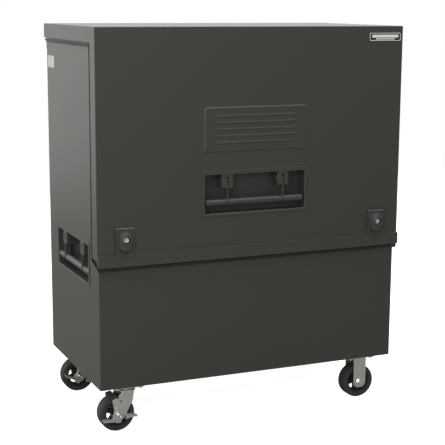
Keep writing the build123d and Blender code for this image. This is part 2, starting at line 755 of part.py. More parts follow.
def strut_line(origin, direction):
    """A plane whose Z runs along the strut and whose X is the box's X."""
    return Plane(origin=origin, x_dir=(1, 0, 0), z_dir=direction)


def round_along(plane, radius, start, end):
    """A round bar along a plane's Z, between two distances."""
    return plane * Pos(0, 0, (start + end) / 2) * Cylinder(radius, end - start)


def strut(side, name):
    """One gas spring: a rod that turns on the body stud and a tube that slides along it."""
    low, high = strut_points(side)
    along = (high - low).normalized()
    length = (high - low).length
    line = strut_line(low, along)
    tube_end = length - STRUT_EYE_NECK
    tube_start = tube_end - STRUT_TUBE_LENGTH
    piston_end = tube_end - STRUT_CAP - STRUT_PISTON_END_GAP
    half_eye = STRUT_EYE_WIDTH / 2

    rod = rod_x(STRUT_EYE_R, low.X - half_eye, low.X + half_eye, low.Y, low.Z)
    rod = rod + round_along(line, STRUT_ROD_R, 0, piston_end)
    rod = rod + round_along(line, STRUT_BORE_R - FIT, piston_end - STRUT_PISTON_LENGTH, piston_end)
    rod = rod - rod_x(STUD_R + FIT, low.X - FAR, low.X + FAR, low.Y, low.Z)
    save(f"{name}_strut_rod", rod)

    tube = round_along(line, STRUT_TUBE_R, tube_start, tube_end)
    tube = tube - round_along(line, STRUT_BORE_R, tube_start + STRUT_GLAND, tube_end - STRUT_CAP)
    tube = tube - round_along(line, STRUT_ROD_R + FIT, tube_start - TINY, tube_end - STRUT_CAP)
    tube = tube + round_along(line, STRUT_ROD_R, tube_end - TINY, length)
    tube = tube + rod_x(STRUT_EYE_R, high.X - half_eye, high.X + half_eye, high.Y, high.Z)
    tube = tube - rod_x(STUD_R + FIT, high.X - FAR, high.X + FAR, high.Y, high.Z)
    save(f"{name}_strut_tube", tube)


def strut_brackets():
    """Studs for both struts, on the body sides and under the lid top."""
    on_body = []
    on_lid = []
    half_eye = STRUT_EYE_WIDTH / 2
    half = BRACKET_SIZE / 2
    for side in (-1, 1):
        low, high = strut_points(side)
        wall = side * (BODY_X - SHEET)
        pad = sorted((wall, wall - side * BRACKET_PLATE))
        inner = low.X - side * (half_eye + STUD_FACE_GAP)
        stud = sorted((wall - side * BRACKET_PLATE, inner))
        head = sorted((inner, inner - side * STUD_HEAD_THICK))
        piece = block(pad[0], pad[1], low.Y - half, low.Y + half, low.Z - half, low.Z + half)
        piece = piece + rod_x(STUD_R, stud[0], stud[1], low.Y, low.Z)
        piece = piece + rod_x(STUD_HEAD_R, head[0], head[1], low.Y, low.Z)
        on_body.append(piece)

        face = high.X - side * (half_eye + STUD_FACE_GAP)
        near = high.X - side * (STRUT_TUBE_R + WEB_GAP)
        web = sorted((near, near - side * BRACKET_PLATE))
        foot = sorted((near, near - side * BRACKET_FOOT))
        roof = LID_TOP - SHEET
        piece = block(
            web[0], web[1], high.Y - half, high.Y + half, high.Z - BRACKET_BELOW_STUD, roof)
        piece = piece + block(
            foot[0], foot[1], high.Y - half, high.Y + half, roof - BRACKET_PLATE, roof)
        boss = sorted((face, near))
        piece = piece + rod_x(STUD_HEAD_R, boss[0], boss[1], high.Y, high.Z)
        on_lid.append(piece)
    save("strut_studs_body", *on_body)
    save("strut_studs_lid", *on_lid)


# ------------------------------------------------------------------ recessed handles
# Each handle is drawn about its pocket's centre on the wall's outer face, with X along
# the bar, Y into the box and Z up, and is then turned onto its wall.
def pocket(width):
    """A pressed pocket: a rim that lies on the wall and a box behind it."""
    half = width / 2
    tall = POCKET_HEIGHT / 2
    rim_height = POCKET_HEIGHT + POCKET_FLANGE_TOP + POCKET_FLANGE_BOTTOM
    rim_middle = (POCKET_FLANGE_TOP - POCKET_FLANGE_BOTTOM) / 2
    rim = wall_plane(0) * Pos(0, rim_middle) * RectangleRounded(
        width + 2 * POCKET_FLANGE_SIDE, rim_height, POCKET_CORNER_R)
    shape = extrude(rim, amount=POCKET_PROUD)
    shape = fillet(shape.faces().sort_by(Axis.Y)[0].edges(), POCKET_PROUD / 2)
    shape = shape + block(
        -half - SHEET, half + SHEET, 0, POCKET_DEPTH + SHEET, -tall - SHEET, tall + SHEET)
    cavity = wall_plane(POCKET_DEPTH) * RectangleRounded(width, POCKET_HEIGHT, POCKET_CORNER_R)
    return shape - extrude(cavity, amount=POCKET_DEPTH + 2 * POCKET_PROUD)


def pivot_place():
    """Depth and height of the handle's pivot."""
    y = HANGER_BEHIND_FACE + HANGER_THICK + PIVOT_BEHIND_HANGER
    return y, POCKET_HEIGHT / 2 - PIVOT_DROP


def bar_place():
    """Depth and height of the bar's centre with the handle hanging."""
    return BAR_BEHIND_FACE, BAR_ABOVE_BOTTOM - POCKET_HEIGHT / 2


def bail(width):
    """A round bar on two flat arms."""
    pivot_y, pivot_z = pivot_place()
    bar_y, bar_z = bar_place()
    half = width / 2 - BAR_END_GAP
    handle = rod_x(BAR_R, -half, half, bar_y, bar_z)
    handle = fillet(handle.edges().filter_by(GeomType.CIRCLE), BAR_EDGE_R)
    for side in (-1, 1):
        x = side * BRACKET_SPACING / 2
        handle = handle + arm(x, pivot_y, pivot_z, bar_y, bar_z)
    return handle


def arm(x, pivot_y, pivot_z, bar_y, bar_z):
    """One flat arm: it drops from the pivot behind the hanger and meets the bar's face."""
    x0 = x - ARM_THICK / 2
    x1 = x + ARM_THICK / 2
    nose_r = ARM_WIDTH / 2
    nose_y = bar_y - BAR_R + nose_r - ARM_NOSE
    plane = Plane(origin=(x0, 0, 0), x_dir=(0, 1, 0), z_dir=(1, 0, 0))
    top = Pos(pivot_y, pivot_z) * Circle(nose_r)
    low = Pos(nose_y, bar_z + nose_r / 2) * Circle(nose_r)
    outline = make_hull(top.edges() + low.edges())
    blade = extrude(plane * outline, amount=ARM_THICK)
    return blade - rod_x(PIVOT_R + FIT, x0 - TINY, x1 + TINY, pivot_y, pivot_z)


def hanger(x):
    """A hat-shaped bracket with a slot that lets the arm swing out."""
    half = HANGER_WIDTH / 2
    front = HANGER_BEHIND_FACE
    top = POCKET_HEIGHT / 2 - HANGER_TOP_GAP
    low = top - HANGER_HEIGHT
    outer = block(x - half, x + half, front, POCKET_DEPTH, low, top)
    outer = fillet(outer.edges().filter_by(Axis.Z).group_by(Axis.Y)[0], HANGER_THICK)
    inner = block(
        x - half + HANGER_THICK, x + half - HANGER_THICK,
        front + HANGER_THICK, POCKET_DEPTH + TINY, low - TINY, top + TINY)
    shape = outer - inner
    pivot_y, pivot_z = pivot_place()
    slot_top = pivot_z + ARM_WIDTH / 2 + ARM_SWING_GAP
    shape = shape - block(
        x - ARM_SLOT / 2, x + ARM_SLOT / 2, front - TINY, front + 2 * HANGER_THICK,
        low - TINY, slot_top)
    for side in (-1, 1):
        edges = sorted((x + side * half, x + side * (half + HANGER_FOOT)))
        foot = block(edges[0], edges[1], POCKET_DEPTH - HANGER_THICK, POCKET_DEPTH, low, top)
        shape = shape + foot
        for level in screw_levels(low, top):
            shape = shape - rod_y(
                FOOT_SCREW_R, POCKET_DEPTH - 2 * HANGER_THICK, POCKET_DEPTH + TINY,
                x + side * (half + HANGER_FOOT / 2), level)
    return shape - rod_x(PIVOT_R, x - FAR, x + FAR, pivot_y, pivot_z)


def screw_levels(low, top):
    """Heights of the two screws in a hanger foot."""
    middle = (low + top) / 2
    return middle - FOOT_SCREW_PITCH / 2, middle + FOOT_SCREW_PITCH / 2


def pivot_bolt(x):
    """The bolt that an arm turns on, held in the hanger's two cheeks."""
    half = HANGER_WIDTH / 2
    y, z = pivot_place()
    bolt = rod_x(PIVOT_R, x - half, x + half, y, z)
    for side in (-1, 1):
        ends = sorted((x + side * half, x + side * (half + PIVOT_HEAD_THICK)))
        plane = Plane(origin=(ends[0], 0, 0), x_dir=(0, 1, 0), z_dir=(1, 0, 0))
        head = plane * Pos(y, z) * RegularPolygon(PIVOT_HEAD_R, 6)
        bolt = bolt + extrude(head, amount=PIVOT_HEAD_THICK)
    return bolt


def foot_screws(x):
    """Screws that hold one hanger to the pocket's back."""
    half = HANGER_WIDTH / 2
    top = POCKET_HEIGHT / 2 - HANGER_TOP_GAP
    seat = POCKET_DEPTH - HANGER_THICK
    screws = []
    for side in (-1, 1):
        for level in screw_levels(top - HANGER_HEIGHT, top):
            place = x + side * (half + HANGER_FOOT / 2)
            head = rod_y(FOOT_SCREW_HEAD_R, seat - FOOT_SCREW_HEAD, seat, place, level)
            head = fillet(head.edges().sort_by(Axis.Y)[0], FOOT_SCREW_HEAD / 2)
            shank = rod_y(FOOT_SCREW_R, seat, POCKET_DEPTH, place, level)
            screws.append(head + shank)
    return screws


def handles():
    """The three recessed handles, on the lid front and on both body sides."""
    front = Location((0, LID_FRONT, FRONT_POCKET_Z))
    left = Location((-BODY_X, SIDE_POCKET_Y, SIDE_POCKET_Z), (0, 0, -90))
    right = Location((BODY_X, SIDE_POCKET_Y, SIDE_POCKET_Z), (0, 0, 90))
    save("front_pocket", front * pocket(FRONT_POCKET_WIDTH))
    save("front_handle", front * bail(FRONT_POCKET_WIDTH))
    save("left_pocket", left * pocket(SIDE_POCKET_WIDTH))
    save("left_handle", left * bail(SIDE_POCKET_WIDTH))
    save("right_pocket", right * pocket(SIDE_POCKET_WIDTH))
    save("right_handle", right * bail(SIDE_POCKET_WIDTH))
    places = (-BRACKET_SPACING / 2, BRACKET_SPACING / 2)
    save("front_hangers", *[front * hanger(x) for x in places])
    save("front_pivot_bolts", *[front * pivot_bolt(x) for x in places])
    save("front_hanger_screws", *[front * s for x in places for s in foot_screws(x)])
    sides = (left, right)
    save("side_hangers", *[wall * hanger(x) for wall in sides for x in places])
    save("side_pivot_bolts", *[wall * pivot_bolt(x) for wall in sides for x in places])
    save("side_hanger_screws",
         *[wall * s for wall in sides for x in places for s in foot_screws(x)])


# ------------------------------------------------------------------ castors
# Each castor is drawn under its plate's centre, with Z = 0 at the plate's top face.
def castor_places():
    """Plate centres: two swivel castors on the left, two fixed ones on the right."""
    return [
        (SWIVEL_X, CASTOR_FRONT_Y), (SWIVEL_X, CASTOR_REAR_Y),
        (RIGID_X, CASTOR_FRONT_Y), (RIGID_X, CASTOR_REAR_Y)]


def bolt_places():
    """The four bolts of one plate, about its centre."""
    return [
        (sx * BOLT_PITCH_X / 2, sy * BOLT_PITCH_Y / 2) for sx in (-1, 1) for sy in (-1, 1)]


def top_plate():
    """A castor plate with four bolt holes."""
    outline = RectangleRounded(PLATE_LENGTH, PLATE_WIDTH, PLATE_CORNER_R)
    plate = extrude(Pos(0, 0, -PLATE_THICK) * outline, amount=PLATE_THICK)
    for dx, dy in bolt_places():
        plate = plate - rod_z(BOLT_HOLE_R, -2 * PLATE_THICK, TINY, dx, dy)
    return plate


def swivel_plate():
    """Top plate with the upper ball race and the kingpin."""
    race_low = -PLATE_THICK - RACE_DEPTH
    crown_low = race_low - RACE_GAP - CROWN_THICK
    plate = top_plate() + rod_z(RACE_R, race_low, -PLATE_THICK, 0, 0)
    plate = plate + rod_z(KINGPIN_R, crown_low - RACE_GAP, race_low, 0, 0)
    head_top = crown_low - RACE_GAP
    return plate + rod_z(KINGPIN_HEAD_R, head_top - KINGPIN_HEAD, head_top, 0, 0)


def crown_top():
    """Height of the fork crown's upper face."""
    return -PLATE_THICK - RACE_DEPTH - RACE_GAP


def fork():
    """A raked fork: a crown that turns on the kingpin and two legs beside the wheel."""
    top = crown_top()
    half = LEG_INNER + LEG_THICK
    crown = block(
        FORK_FRONT - CROWN_LENGTH, FORK_FRONT + LEG_THICK, -half, half, top - CROWN_THICK, top)
    crown = crown + rod_z(half, top - CROWN_THICK, top, 0, 0)
    shape = crown
    for side in (-1, 1):
        shape = shape + fork_leg(side)
    shape = shape - rod_z(KINGPIN_R + FIT, top - 2 * CROWN_THICK, top + TINY, 0, 0)
    return shape


def fork_leg(side):
    """One leg, drawn tight round a row of circles from the axle eye up to the crown."""
    ends = sorted((side * LEG_INNER, side * (LEG_INNER + LEG_THICK)))
    circles = [Pos(x - TRAIL, z - AXLE_DROP) * Circle(radius) for x, z, radius in FORK_OUTLINE]
    outline = make_hull([edge for circle in circles for edge in circle.edges()])
    leg = extrude(wall_plane(ends[1]) * outline, amount=LEG_THICK)
    leg = leg - rod_y(
        FORK_HOLE_R, ends[0] - TINY, ends[1] + TINY,
        FORK_HOLE_SHIFT - TRAIL, FORK_HOLE_RISE - AXLE_DROP)
    return leg - rod_y(AXLE_R, ends[0] - TINY, ends[1] + TINY, -TRAIL, -AXLE_DROP)


def rigid_frame():
    """A fixed castor frame: plate and two straight legs with round ends."""
    shape = top_plate()
    half = RIGID_LEG_WIDTH / 2
    for side in (-1, 1):
        ends = sorted((side * LEG_INNER, side * (LEG_INNER + LEG_THICK)))
        leg = block(-half, half, ends[0], ends[1], -AXLE_DROP - RIGID_LEG_END, -PLATE_THICK)
        low_corners = leg.edges().filter_by(Axis.Y).group_by(Axis.Z)[0]
        leg = fillet(low_corners, RIGID_LEG_R)
        leg = leg - rod_y(AXLE_R, ends[0] - TINY, ends[1] + TINY, 0, -AXLE_DROP)
        shape = shape + leg
    return shape


def wheel_core(x):
    """A cast wheel: hub, five tapered spokes and a rim."""
    hub_half = LEG_INNER - HUB_SIDE_GAP
    core = rod_y(HUB_R, -hub_half, hub_half, x, -AXLE_DROP)
    rim = rod_y(RIM_R, -RIM_WIDTH / 2, RIM_WIDTH / 2, x, -AXLE_DROP)
    core = core + (rim - rod_y(RIM_INNER_R, -RIM_WIDTH, RIM_WIDTH, x, -AXLE_DROP))
    reach = (RIM_R + RIM_INNER_R) / 2
    spoke = make_face(Polyline(
        (0, -SPOKE_WIDTH_HUB / 2), (reach, -SPOKE_WIDTH_RIM / 2),
        (reach, SPOKE_WIDTH_RIM / 2), (0, SPOKE_WIDTH_HUB / 2), close=True))
    for index in range(SPOKE_COUNT):
        turn = SPOKE_START + index * 360 / SPOKE_COUNT
        place = wall_plane(SPOKE_THICK / 2) * Pos(x, -AXLE_DROP) * Rot(0, 0, turn)
        core = core + extrude(place * spoke, amount=SPOKE_THICK)
    return core - rod_y(AXLE_R + FIT, -hub_half - TINY, hub_half + TINY, x, -AXLE_DROP)


def tyre(x):
    """A solid tyre with rounded shoulders."""
    half = TYRE_WIDTH / 2
    ring = rod_y(WHEEL_R, -half, half, x, -AXLE_DROP)
    ring = fillet(ring.edges().filter_by(GeomType.CIRCLE), TYRE_EDGE_R)
    return ring - rod_y(RIM_R, -TYRE_WIDTH, TYRE_WIDTH, x, -AXLE_DROP)


def axle(x, seat):
    """Axle bolt with a washer and a hexagon at each end, outside the given seat."""
    bolt = rod_y(AXLE_R, -seat - WASHER_THICK, seat + WASHER_THICK, x, -AXLE_DROP)
    for side in (-1, 1):
        washer = sorted((side * seat, side * (seat + WASHER_THICK)))
        bolt = bolt + rod_y(WASHER_R, washer[0], washer[1], x, -AXLE_DROP)
        head = sorted((
            side * (seat + WASHER_THICK), side * (seat + WASHER_THICK + AXLE_HEAD)))
        bolt = bolt + hexagon_y(AXLE_HEAD_R, head[0], head[1], x, -AXLE_DROP)
    return bolt


def brake_seat():
    """Inner face of the brake side plates."""
    return LEG_INNER + LEG_THICK + BRAKE_GAP


def brake(turn):
    """A rocking brake: side plates on the axle, a strap over the tyre, two pedal wings.
    The pedal end is drawn turned about the axle."""
    inner = brake_seat()
    outer = inner + BRAKE_PLATE
    near = near_brake_plate(-outer, -inner, turn)
    far = far_brake_plate(inner, outer)
    shape = near + far + brake_strap(outer)
    shape = shape + pedal_wings(-outer, turn)
    shape = shape + rod_y(
        BRAKE_RIVET_R, -outer - BRAKE_RIVET_PROUD, -inner,
        -TRAIL - BRAKE_RIVET_BACK, -AXLE_DROP + BRAKE_RIVET_RISE)
    return shape - rod_y(AXLE_R + FIT, -FAR, FAR, -TRAIL, -AXLE_DROP)


def polar(radius, degrees):
    """A point about the axle, in X and Z."""
    turn = math.radians(degrees)
    return radius * math.cos(turn) - TRAIL, radius * math.sin(turn) - AXLE_DROP


def strap_radii():
    """Inner and outer radius of the strap over the tyre."""
    inner = WHEEL_R + BRAKE_STRAP_GAP
    return inner, inner + BRAKE_STRAP_THICK


def brake_strap(half):
    """The curved strap that bridges the tyre, at a constant radius about the axle."""
    inner, outer = strap_radii()
    ring = rod_y(outer, -half, half, -TRAIL, -AXLE_DROP)
    ring = ring - rod_y(inner, -half - TINY, half + TINY, -TRAIL, -AXLE_DROP)
    wedge = prism_y(
        [(-TRAIL, -AXLE_DROP), polar(2 * outer, BRAKE_STRAP_FROM),
         polar(2 * outer, BRAKE_STRAP_TO)], -half, half)
    return ring & wedge


def near_brake_plate(y0, y1, turn):
    """The visible side plate, with the roots of both pedal wings and a lower tab."""
    _, outer = strap_radii()
    outline = [
        polar(outer, BRAKE_STRAP_TO),
        polar(outer, (BRAKE_STRAP_TO + BRAKE_STRAP_FROM) / 2),
        polar(outer, BRAKE_STRAP_FROM),
    ]
    for radius, angle in BRAKE_OUTLINE:
        outline.append(polar(radius, angle + turn if radius < BRAKE_ROOT_R else angle))
    return prism_y(outline, y0, y1)


def far_brake_plate(y0, y1):
    """The plain side plate behind the wheel."""
    _, outer = strap_radii()
    eye = Pos(-TRAIL, -AXLE_DROP) * Circle(BRAKE_FAR_EYE_R)
    head = Polyline(
        polar(outer, BRAKE_STRAP_TO), polar(outer, (BRAKE_STRAP_TO + BRAKE_STRAP_FROM) / 2),
        polar(outer, BRAKE_STRAP_FROM))
    outline = make_hull(eye.edges() + head.edges())
    return extrude(wall_plane(y1) * outline, amount=y1 - y0)


def pedal_wings(seat, turn):
    """Two foot pads that stand out from the near plate: a tread and a turned-down edge."""
    shape = wing(REAR_WING, seat, REAR_WING_DROP, turn)
    return shape + wing(FRONT_WING, seat, FRONT_WING_DROP, turn)


def wing(tread_line, seat, drop, turn):
    """One wing: its tread follows the line, and its edge hangs down along the front."""
    points = [polar(radius, angle + turn) for radius, angle in tread_line]
    lower = [(x, z - WING_THICK) for x, z in reversed(points)]
    skirt = [(x, z - drop) for x, z in reversed(points)]
    tread = prism_y(points + lower, seat - WING_REACH, seat + BRAKE_PLATE)
    edge = prism_y(points + skirt, seat - WING_REACH, seat - WING_REACH + WING_THICK)
    return tread + edge


def castor_bolts():
    """Every plate's bolts, with the head under the plate and the nut on the floor."""
    bolts = []
    for x, y in castor_places():
        for dx, dy in bolt_places():
            seat = BODY_BOTTOM - PLATE_THICK
            nut = BODY_BOTTOM + FLOOR_THICK
            bolt = hexagon_z(BOLT_HEAD_R, seat - BOLT_HEAD, seat, x + dx, y + dy)
            bolt = bolt + rod_z(BOLT_R, seat, nut + BOLT_NUT, x + dx, y + dy)
            bolt = bolt + hexagon_z(BOLT_HEAD_R, nut, nut + BOLT_NUT, x + dx, y + dy)
            bolts.append(bolt)
    save("castor_bolts", *bolts)


def castors():
    """Two braked swivel castors on the left and two fixed castors on the right."""
    rows = (("front", CASTOR_FRONT_Y), ("rear", CASTOR_REAR_Y))
    turns = (0.0, REAR_PEDAL_TURN)
    swivel = [Location((SWIVEL_X, y, BODY_BOTTOM)) for _, y in rows]
    rigid = [Location((RIGID_X, y, BODY_BOTTOM)) for _, y in rows]
    braked_seat = brake_seat() + BRAKE_PLATE + BRAKE_GAP
    for (name, _), turn, left, right in zip(rows, turns, swivel, rigid):
        save(f"{name}_swivel_fork", left * fork())
        save(f"{name}_swivel_core", left * wheel_core(-TRAIL))
        save(f"{name}_swivel_tyre", left * tyre(-TRAIL))
        save(f"{name}_swivel_axle", left * axle(-TRAIL, braked_seat))
        save(f"{name}_brake", left * brake(turn))
        save(f"{name}_fixed_core", right * wheel_core(0))
        save(f"{name}_fixed_tyre", right * tyre(0))
    save("swivel_plates", *[place * swivel_plate() for place in swivel])
    save("fixed_frames", *[place * rigid_frame() for place in rigid])
    save("fixed_axles", *[place * axle(0, LEG_INNER + LEG_THICK) for place in rigid])
    castor_bolts()


def main():
    """Build every sub-part."""
    os.makedirs("parts", exist_ok=True)
    lid_panels()
    lid_stiffeners()
    lock_rail()
    badge()
    lock(-1, "left")
    lock(1, "right")
    hinge()
    body_panels()
    body_details()
    strut(-1, "left")
    strut(1, "right")
    strut_brackets()
    handles()
    castors()


main()
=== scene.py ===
"""Looks of the rolling tool box: finishes, castors, locks, handles and studio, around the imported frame."""
import json
import logging
import math
from dataclasses import dataclass, field
from enum import Enum

import bmesh
import bpy
import numpy as np
from mathutils import Matrix, Vector
from mathutils.geometry import convex_hull_2d, delaunay_2d_cdt


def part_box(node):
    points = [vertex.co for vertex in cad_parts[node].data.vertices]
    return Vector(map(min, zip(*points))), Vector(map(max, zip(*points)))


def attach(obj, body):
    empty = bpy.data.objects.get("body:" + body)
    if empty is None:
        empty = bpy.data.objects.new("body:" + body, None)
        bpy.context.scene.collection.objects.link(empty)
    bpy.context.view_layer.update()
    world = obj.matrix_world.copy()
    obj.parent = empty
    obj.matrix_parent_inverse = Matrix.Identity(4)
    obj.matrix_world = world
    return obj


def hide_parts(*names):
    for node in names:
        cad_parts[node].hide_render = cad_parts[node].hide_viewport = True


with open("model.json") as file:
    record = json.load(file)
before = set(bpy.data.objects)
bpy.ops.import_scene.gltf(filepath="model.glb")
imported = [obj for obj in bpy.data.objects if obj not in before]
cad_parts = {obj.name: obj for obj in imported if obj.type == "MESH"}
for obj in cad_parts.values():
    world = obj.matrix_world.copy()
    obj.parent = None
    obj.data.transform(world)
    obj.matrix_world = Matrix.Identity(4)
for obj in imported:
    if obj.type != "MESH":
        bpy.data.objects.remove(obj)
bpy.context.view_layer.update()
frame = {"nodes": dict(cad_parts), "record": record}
log = logging.getLogger("tool_box")

MM = 0.001
TURN = 2 * math.pi


# ------------------------------------------------------------------ placing
class Facing(Enum):
    """The way a piece's own Z looks; its own Y stays up, or to the back when it looks up or down."""

    FRONT = ((0, -1, 0), (0, 0, 1))
    BACK = ((0, 1, 0), (0, 0, 1))
    LEFT = ((-1, 0, 0), (0, 0, 1))
    RIGHT = ((1, 0, 0), (0, 0, 1))
    UP = ((0, 0, 1), (0, 1, 0))
    DOWN = ((0, 0, -1), (0, 1, 0))


@dataclass(frozen=True)
class Place:
    """Where a piece is drawn: an origin and three axes, as the columns of a matrix."""

    origin: np.ndarray
    axes: np.ndarray

    @staticmethod
    def facing(origin: tuple[float, float, float], way: Facing) -> "Place":
        """A place that looks one of the six plain ways."""
        return Place.towards(origin, *way.value)

    @staticmethod
    def towards(
        origin: tuple[float, float, float],
        out: tuple[float, float, float],
        up: tuple[float, float, float],
    ) -> "Place":
        """A place whose Z is out and whose Y is as near to up as it can be.

        Args:
            origin: The place's zero point.
            out: The direction of Z.
            up: The rough direction of Y.

        Returns:
            The place.
        """
        z = np.array(out, float) / np.linalg.norm(out)
        x = np.cross(np.array(up, float), z)
        x = x / np.linalg.norm(x)
        return Place(np.array(origin, float), np.stack([x, np.cross(z, x), z], 1))

    def inner(self, origin: tuple[float, float, float], out: tuple, up: tuple) -> "Place":
        """A place given in this place's own axes.

        Args:
            origin: The inner zero point.
            out: The inner Z.
            up: The rough inner Y.

        Returns:
            The place in the row frame.
        """
        local = Place.towards(origin, out, up)
        return Place(self.axes @ local.origin + self.origin, self.axes @ local.axes)

    def put(self, points: np.ndarray) -> np.ndarray:
        """Points drawn in this place, in the row frame."""
        return points @ self.axes.T + self.origin


# ------------------------------------------------------------------ outlines
def circle(radius: float, steps: int, centre: tuple[float, float] = (0.0, 0.0)) -> np.ndarray:
    """A circle's points: centre plus radius times the cosine and sine of the turn."""
    turn = np.arange(steps) / steps * TURN
    return np.stack([np.cos(turn), np.sin(turn)], 1) * radius + np.array(centre)


def rounded(corners: list[tuple[float, float, float]], steps: int = 5) -> np.ndarray:
    """A closed outline whose corners are arcs.

    Each arc touches both runs at radius over the tangent of half the corner's angle, and its points turn
    evenly from one touching point to the other.

    Args:
        corners: Each corner's two coordinates and its radius.
        steps: Points along each arc, less one.

    Returns:
        The outline's points.
    """
    spots = np.array([c[:2] for c in corners], float)
    arcs = []
    for index, (_, _, radius) in enumerate(corners):
        here = spots[index]
        if radius <= 0:
            arcs.append(here[None])
            continue
        back = spots[index - 1] - here
        ahead = spots[(index + 1) % len(spots)] - here
        back, ahead = back / np.linalg.norm(back), ahead / np.linalg.norm(ahead)
        half = math.acos(float(np.clip(back @ ahead, -1, 1))) / 2
        middle = here + (back + ahead) / np.linalg.norm(back + ahead) * radius / math.sin(half)
        start = here + back * radius / math.tan(half) - middle
        end = here + ahead * radius / math.tan(half) - middle
        first = math.atan2(start[1], start[0])
        sweep = math.remainder(math.atan2(end[1], end[0]) - first, TURN)
        turn = first + np.linspace(0, sweep, steps + 1)
        arcs.append(middle + radius * np.stack([np.cos(turn), np.sin(turn)], 1))
    return np.concatenate(arcs)


def rectangle(
    width: float,
    height: float,
    radius: float,
    centre: tuple[float, float] = (0.0, 0.0),
    steps: int = 5,
) -> np.ndarray:
    """A rectangle with rounded corners about a centre.

    Args:
        width: Size along X.
        height: Size along Y.
        radius: Radius of the corners.
        centre: The rectangle's middle.
        steps: Points along each corner, less one.

    Returns:
        The outline's points.
    """
    x, y = width / 2, height / 2
    outline = rounded([(-x, -y, radius), (x, -y, radius), (x, y, radius), (-x, y, radius)], steps)
    return outline + np.array(centre)


def capsule(radius: float, straight: float, steps: int = 24, side: int = 1) -> np.ndarray:
    """Two half circles joined along Y by straight sides.

    Args:
        radius: Radius of the half circles.
        straight: Length of the straight sides.
        steps: Runs along each half circle.
        side: Runs along each straight side.

    Returns:
        The outline's points.
    """
    turn = np.linspace(0, math.pi, steps + 1)
    arc = np.stack([np.cos(turn), np.sin(turn)], 1) * radius + [0.0, straight / 2]
    run = np.linspace(straight / 2, -straight / 2, side + 1)[1:-1]
    down = np.stack([np.full(len(run), -radius), run], 1)
    return np.concatenate([arc, down, -arc, -down])


def belt(circles: list[tuple[float, float, float]], steps: int = 40) -> np.ndarray:
    """The outline of a belt drawn tight round several circles, given as centre and radius."""
    points = np.concatenate([circle(r, steps, (x, y)) for x, y, r in circles])
    return points[convex_hull_2d([Vector(p) for p in points.tolist()])]


def anticlockwise(outline: np.ndarray) -> np.ndarray:
    """The outline in the order that keeps its inside on the left.

    Args:
        outline: Points in either order.

    Returns:
        The same points, turned round if the area they enclose came out negative.
    """
    following = np.roll(outline, -1, 0)
    area = np.sum(outline[:, 0] * following[:, 1] - following[:, 0] * outline[:, 1])
    return outline if area > 0 else outline[::-1]


def inset(outline: np.ndarray, distance: float) -> np.ndarray:
    """The outline moved to its left by a distance, along the mitre at each point.

    Args:
        outline: A closed outline.
        distance: How far each run moves.

    Returns:
        The moved points.
    """
    before = outline - np.roll(outline, 1, 0)
    after = np.roll(outline, -1, 0) - outline
    before = before / np.linalg.norm(before, axis=1, keepdims=True)
    after = after / np.linalg.norm(after, axis=1, keepdims=True)
    mitre = np.stack([-(before + after)[:, 1], (before + after)[:, 0]], 1)
    length = np.sum(mitre * mitre, 1, keepdims=True)
    return outline + 2 * distance * mitre / np.maximum(length, 1)


def inside(points: np.ndarray, outline: np.ndarray) -> np.ndarray:
    """Which points lie in a closed outline, by counting the runs that each one's level line crosses.

    Args:
        points: The points in question.
        outline: The closed outline.

    Returns:
        True for each point inside.
    """
    x, y = points[:, 0:1], points[:, 1:2]
    x0, y0 = outline[:, 0], outline[:, 1]
    x1, y1 = np.roll(x0, -1), np.roll(y0, -1)
    spans = (y0 > y) != (y1 > y)
    rise = np.where(y1 == y0, 1.0, y1 - y0)
    crossed = spans & (x < (x1 - x0) * (y - y0) / rise + x0)
    return crossed.sum(1) % 2 == 1


def rod(radius: float, low: float, high: float) -> np.ndarray:
    """The profile of a plain round rod with flat ends, as radius and height."""
    return np.array([[0, low], [radius, low], [radius, high], [0, high]])


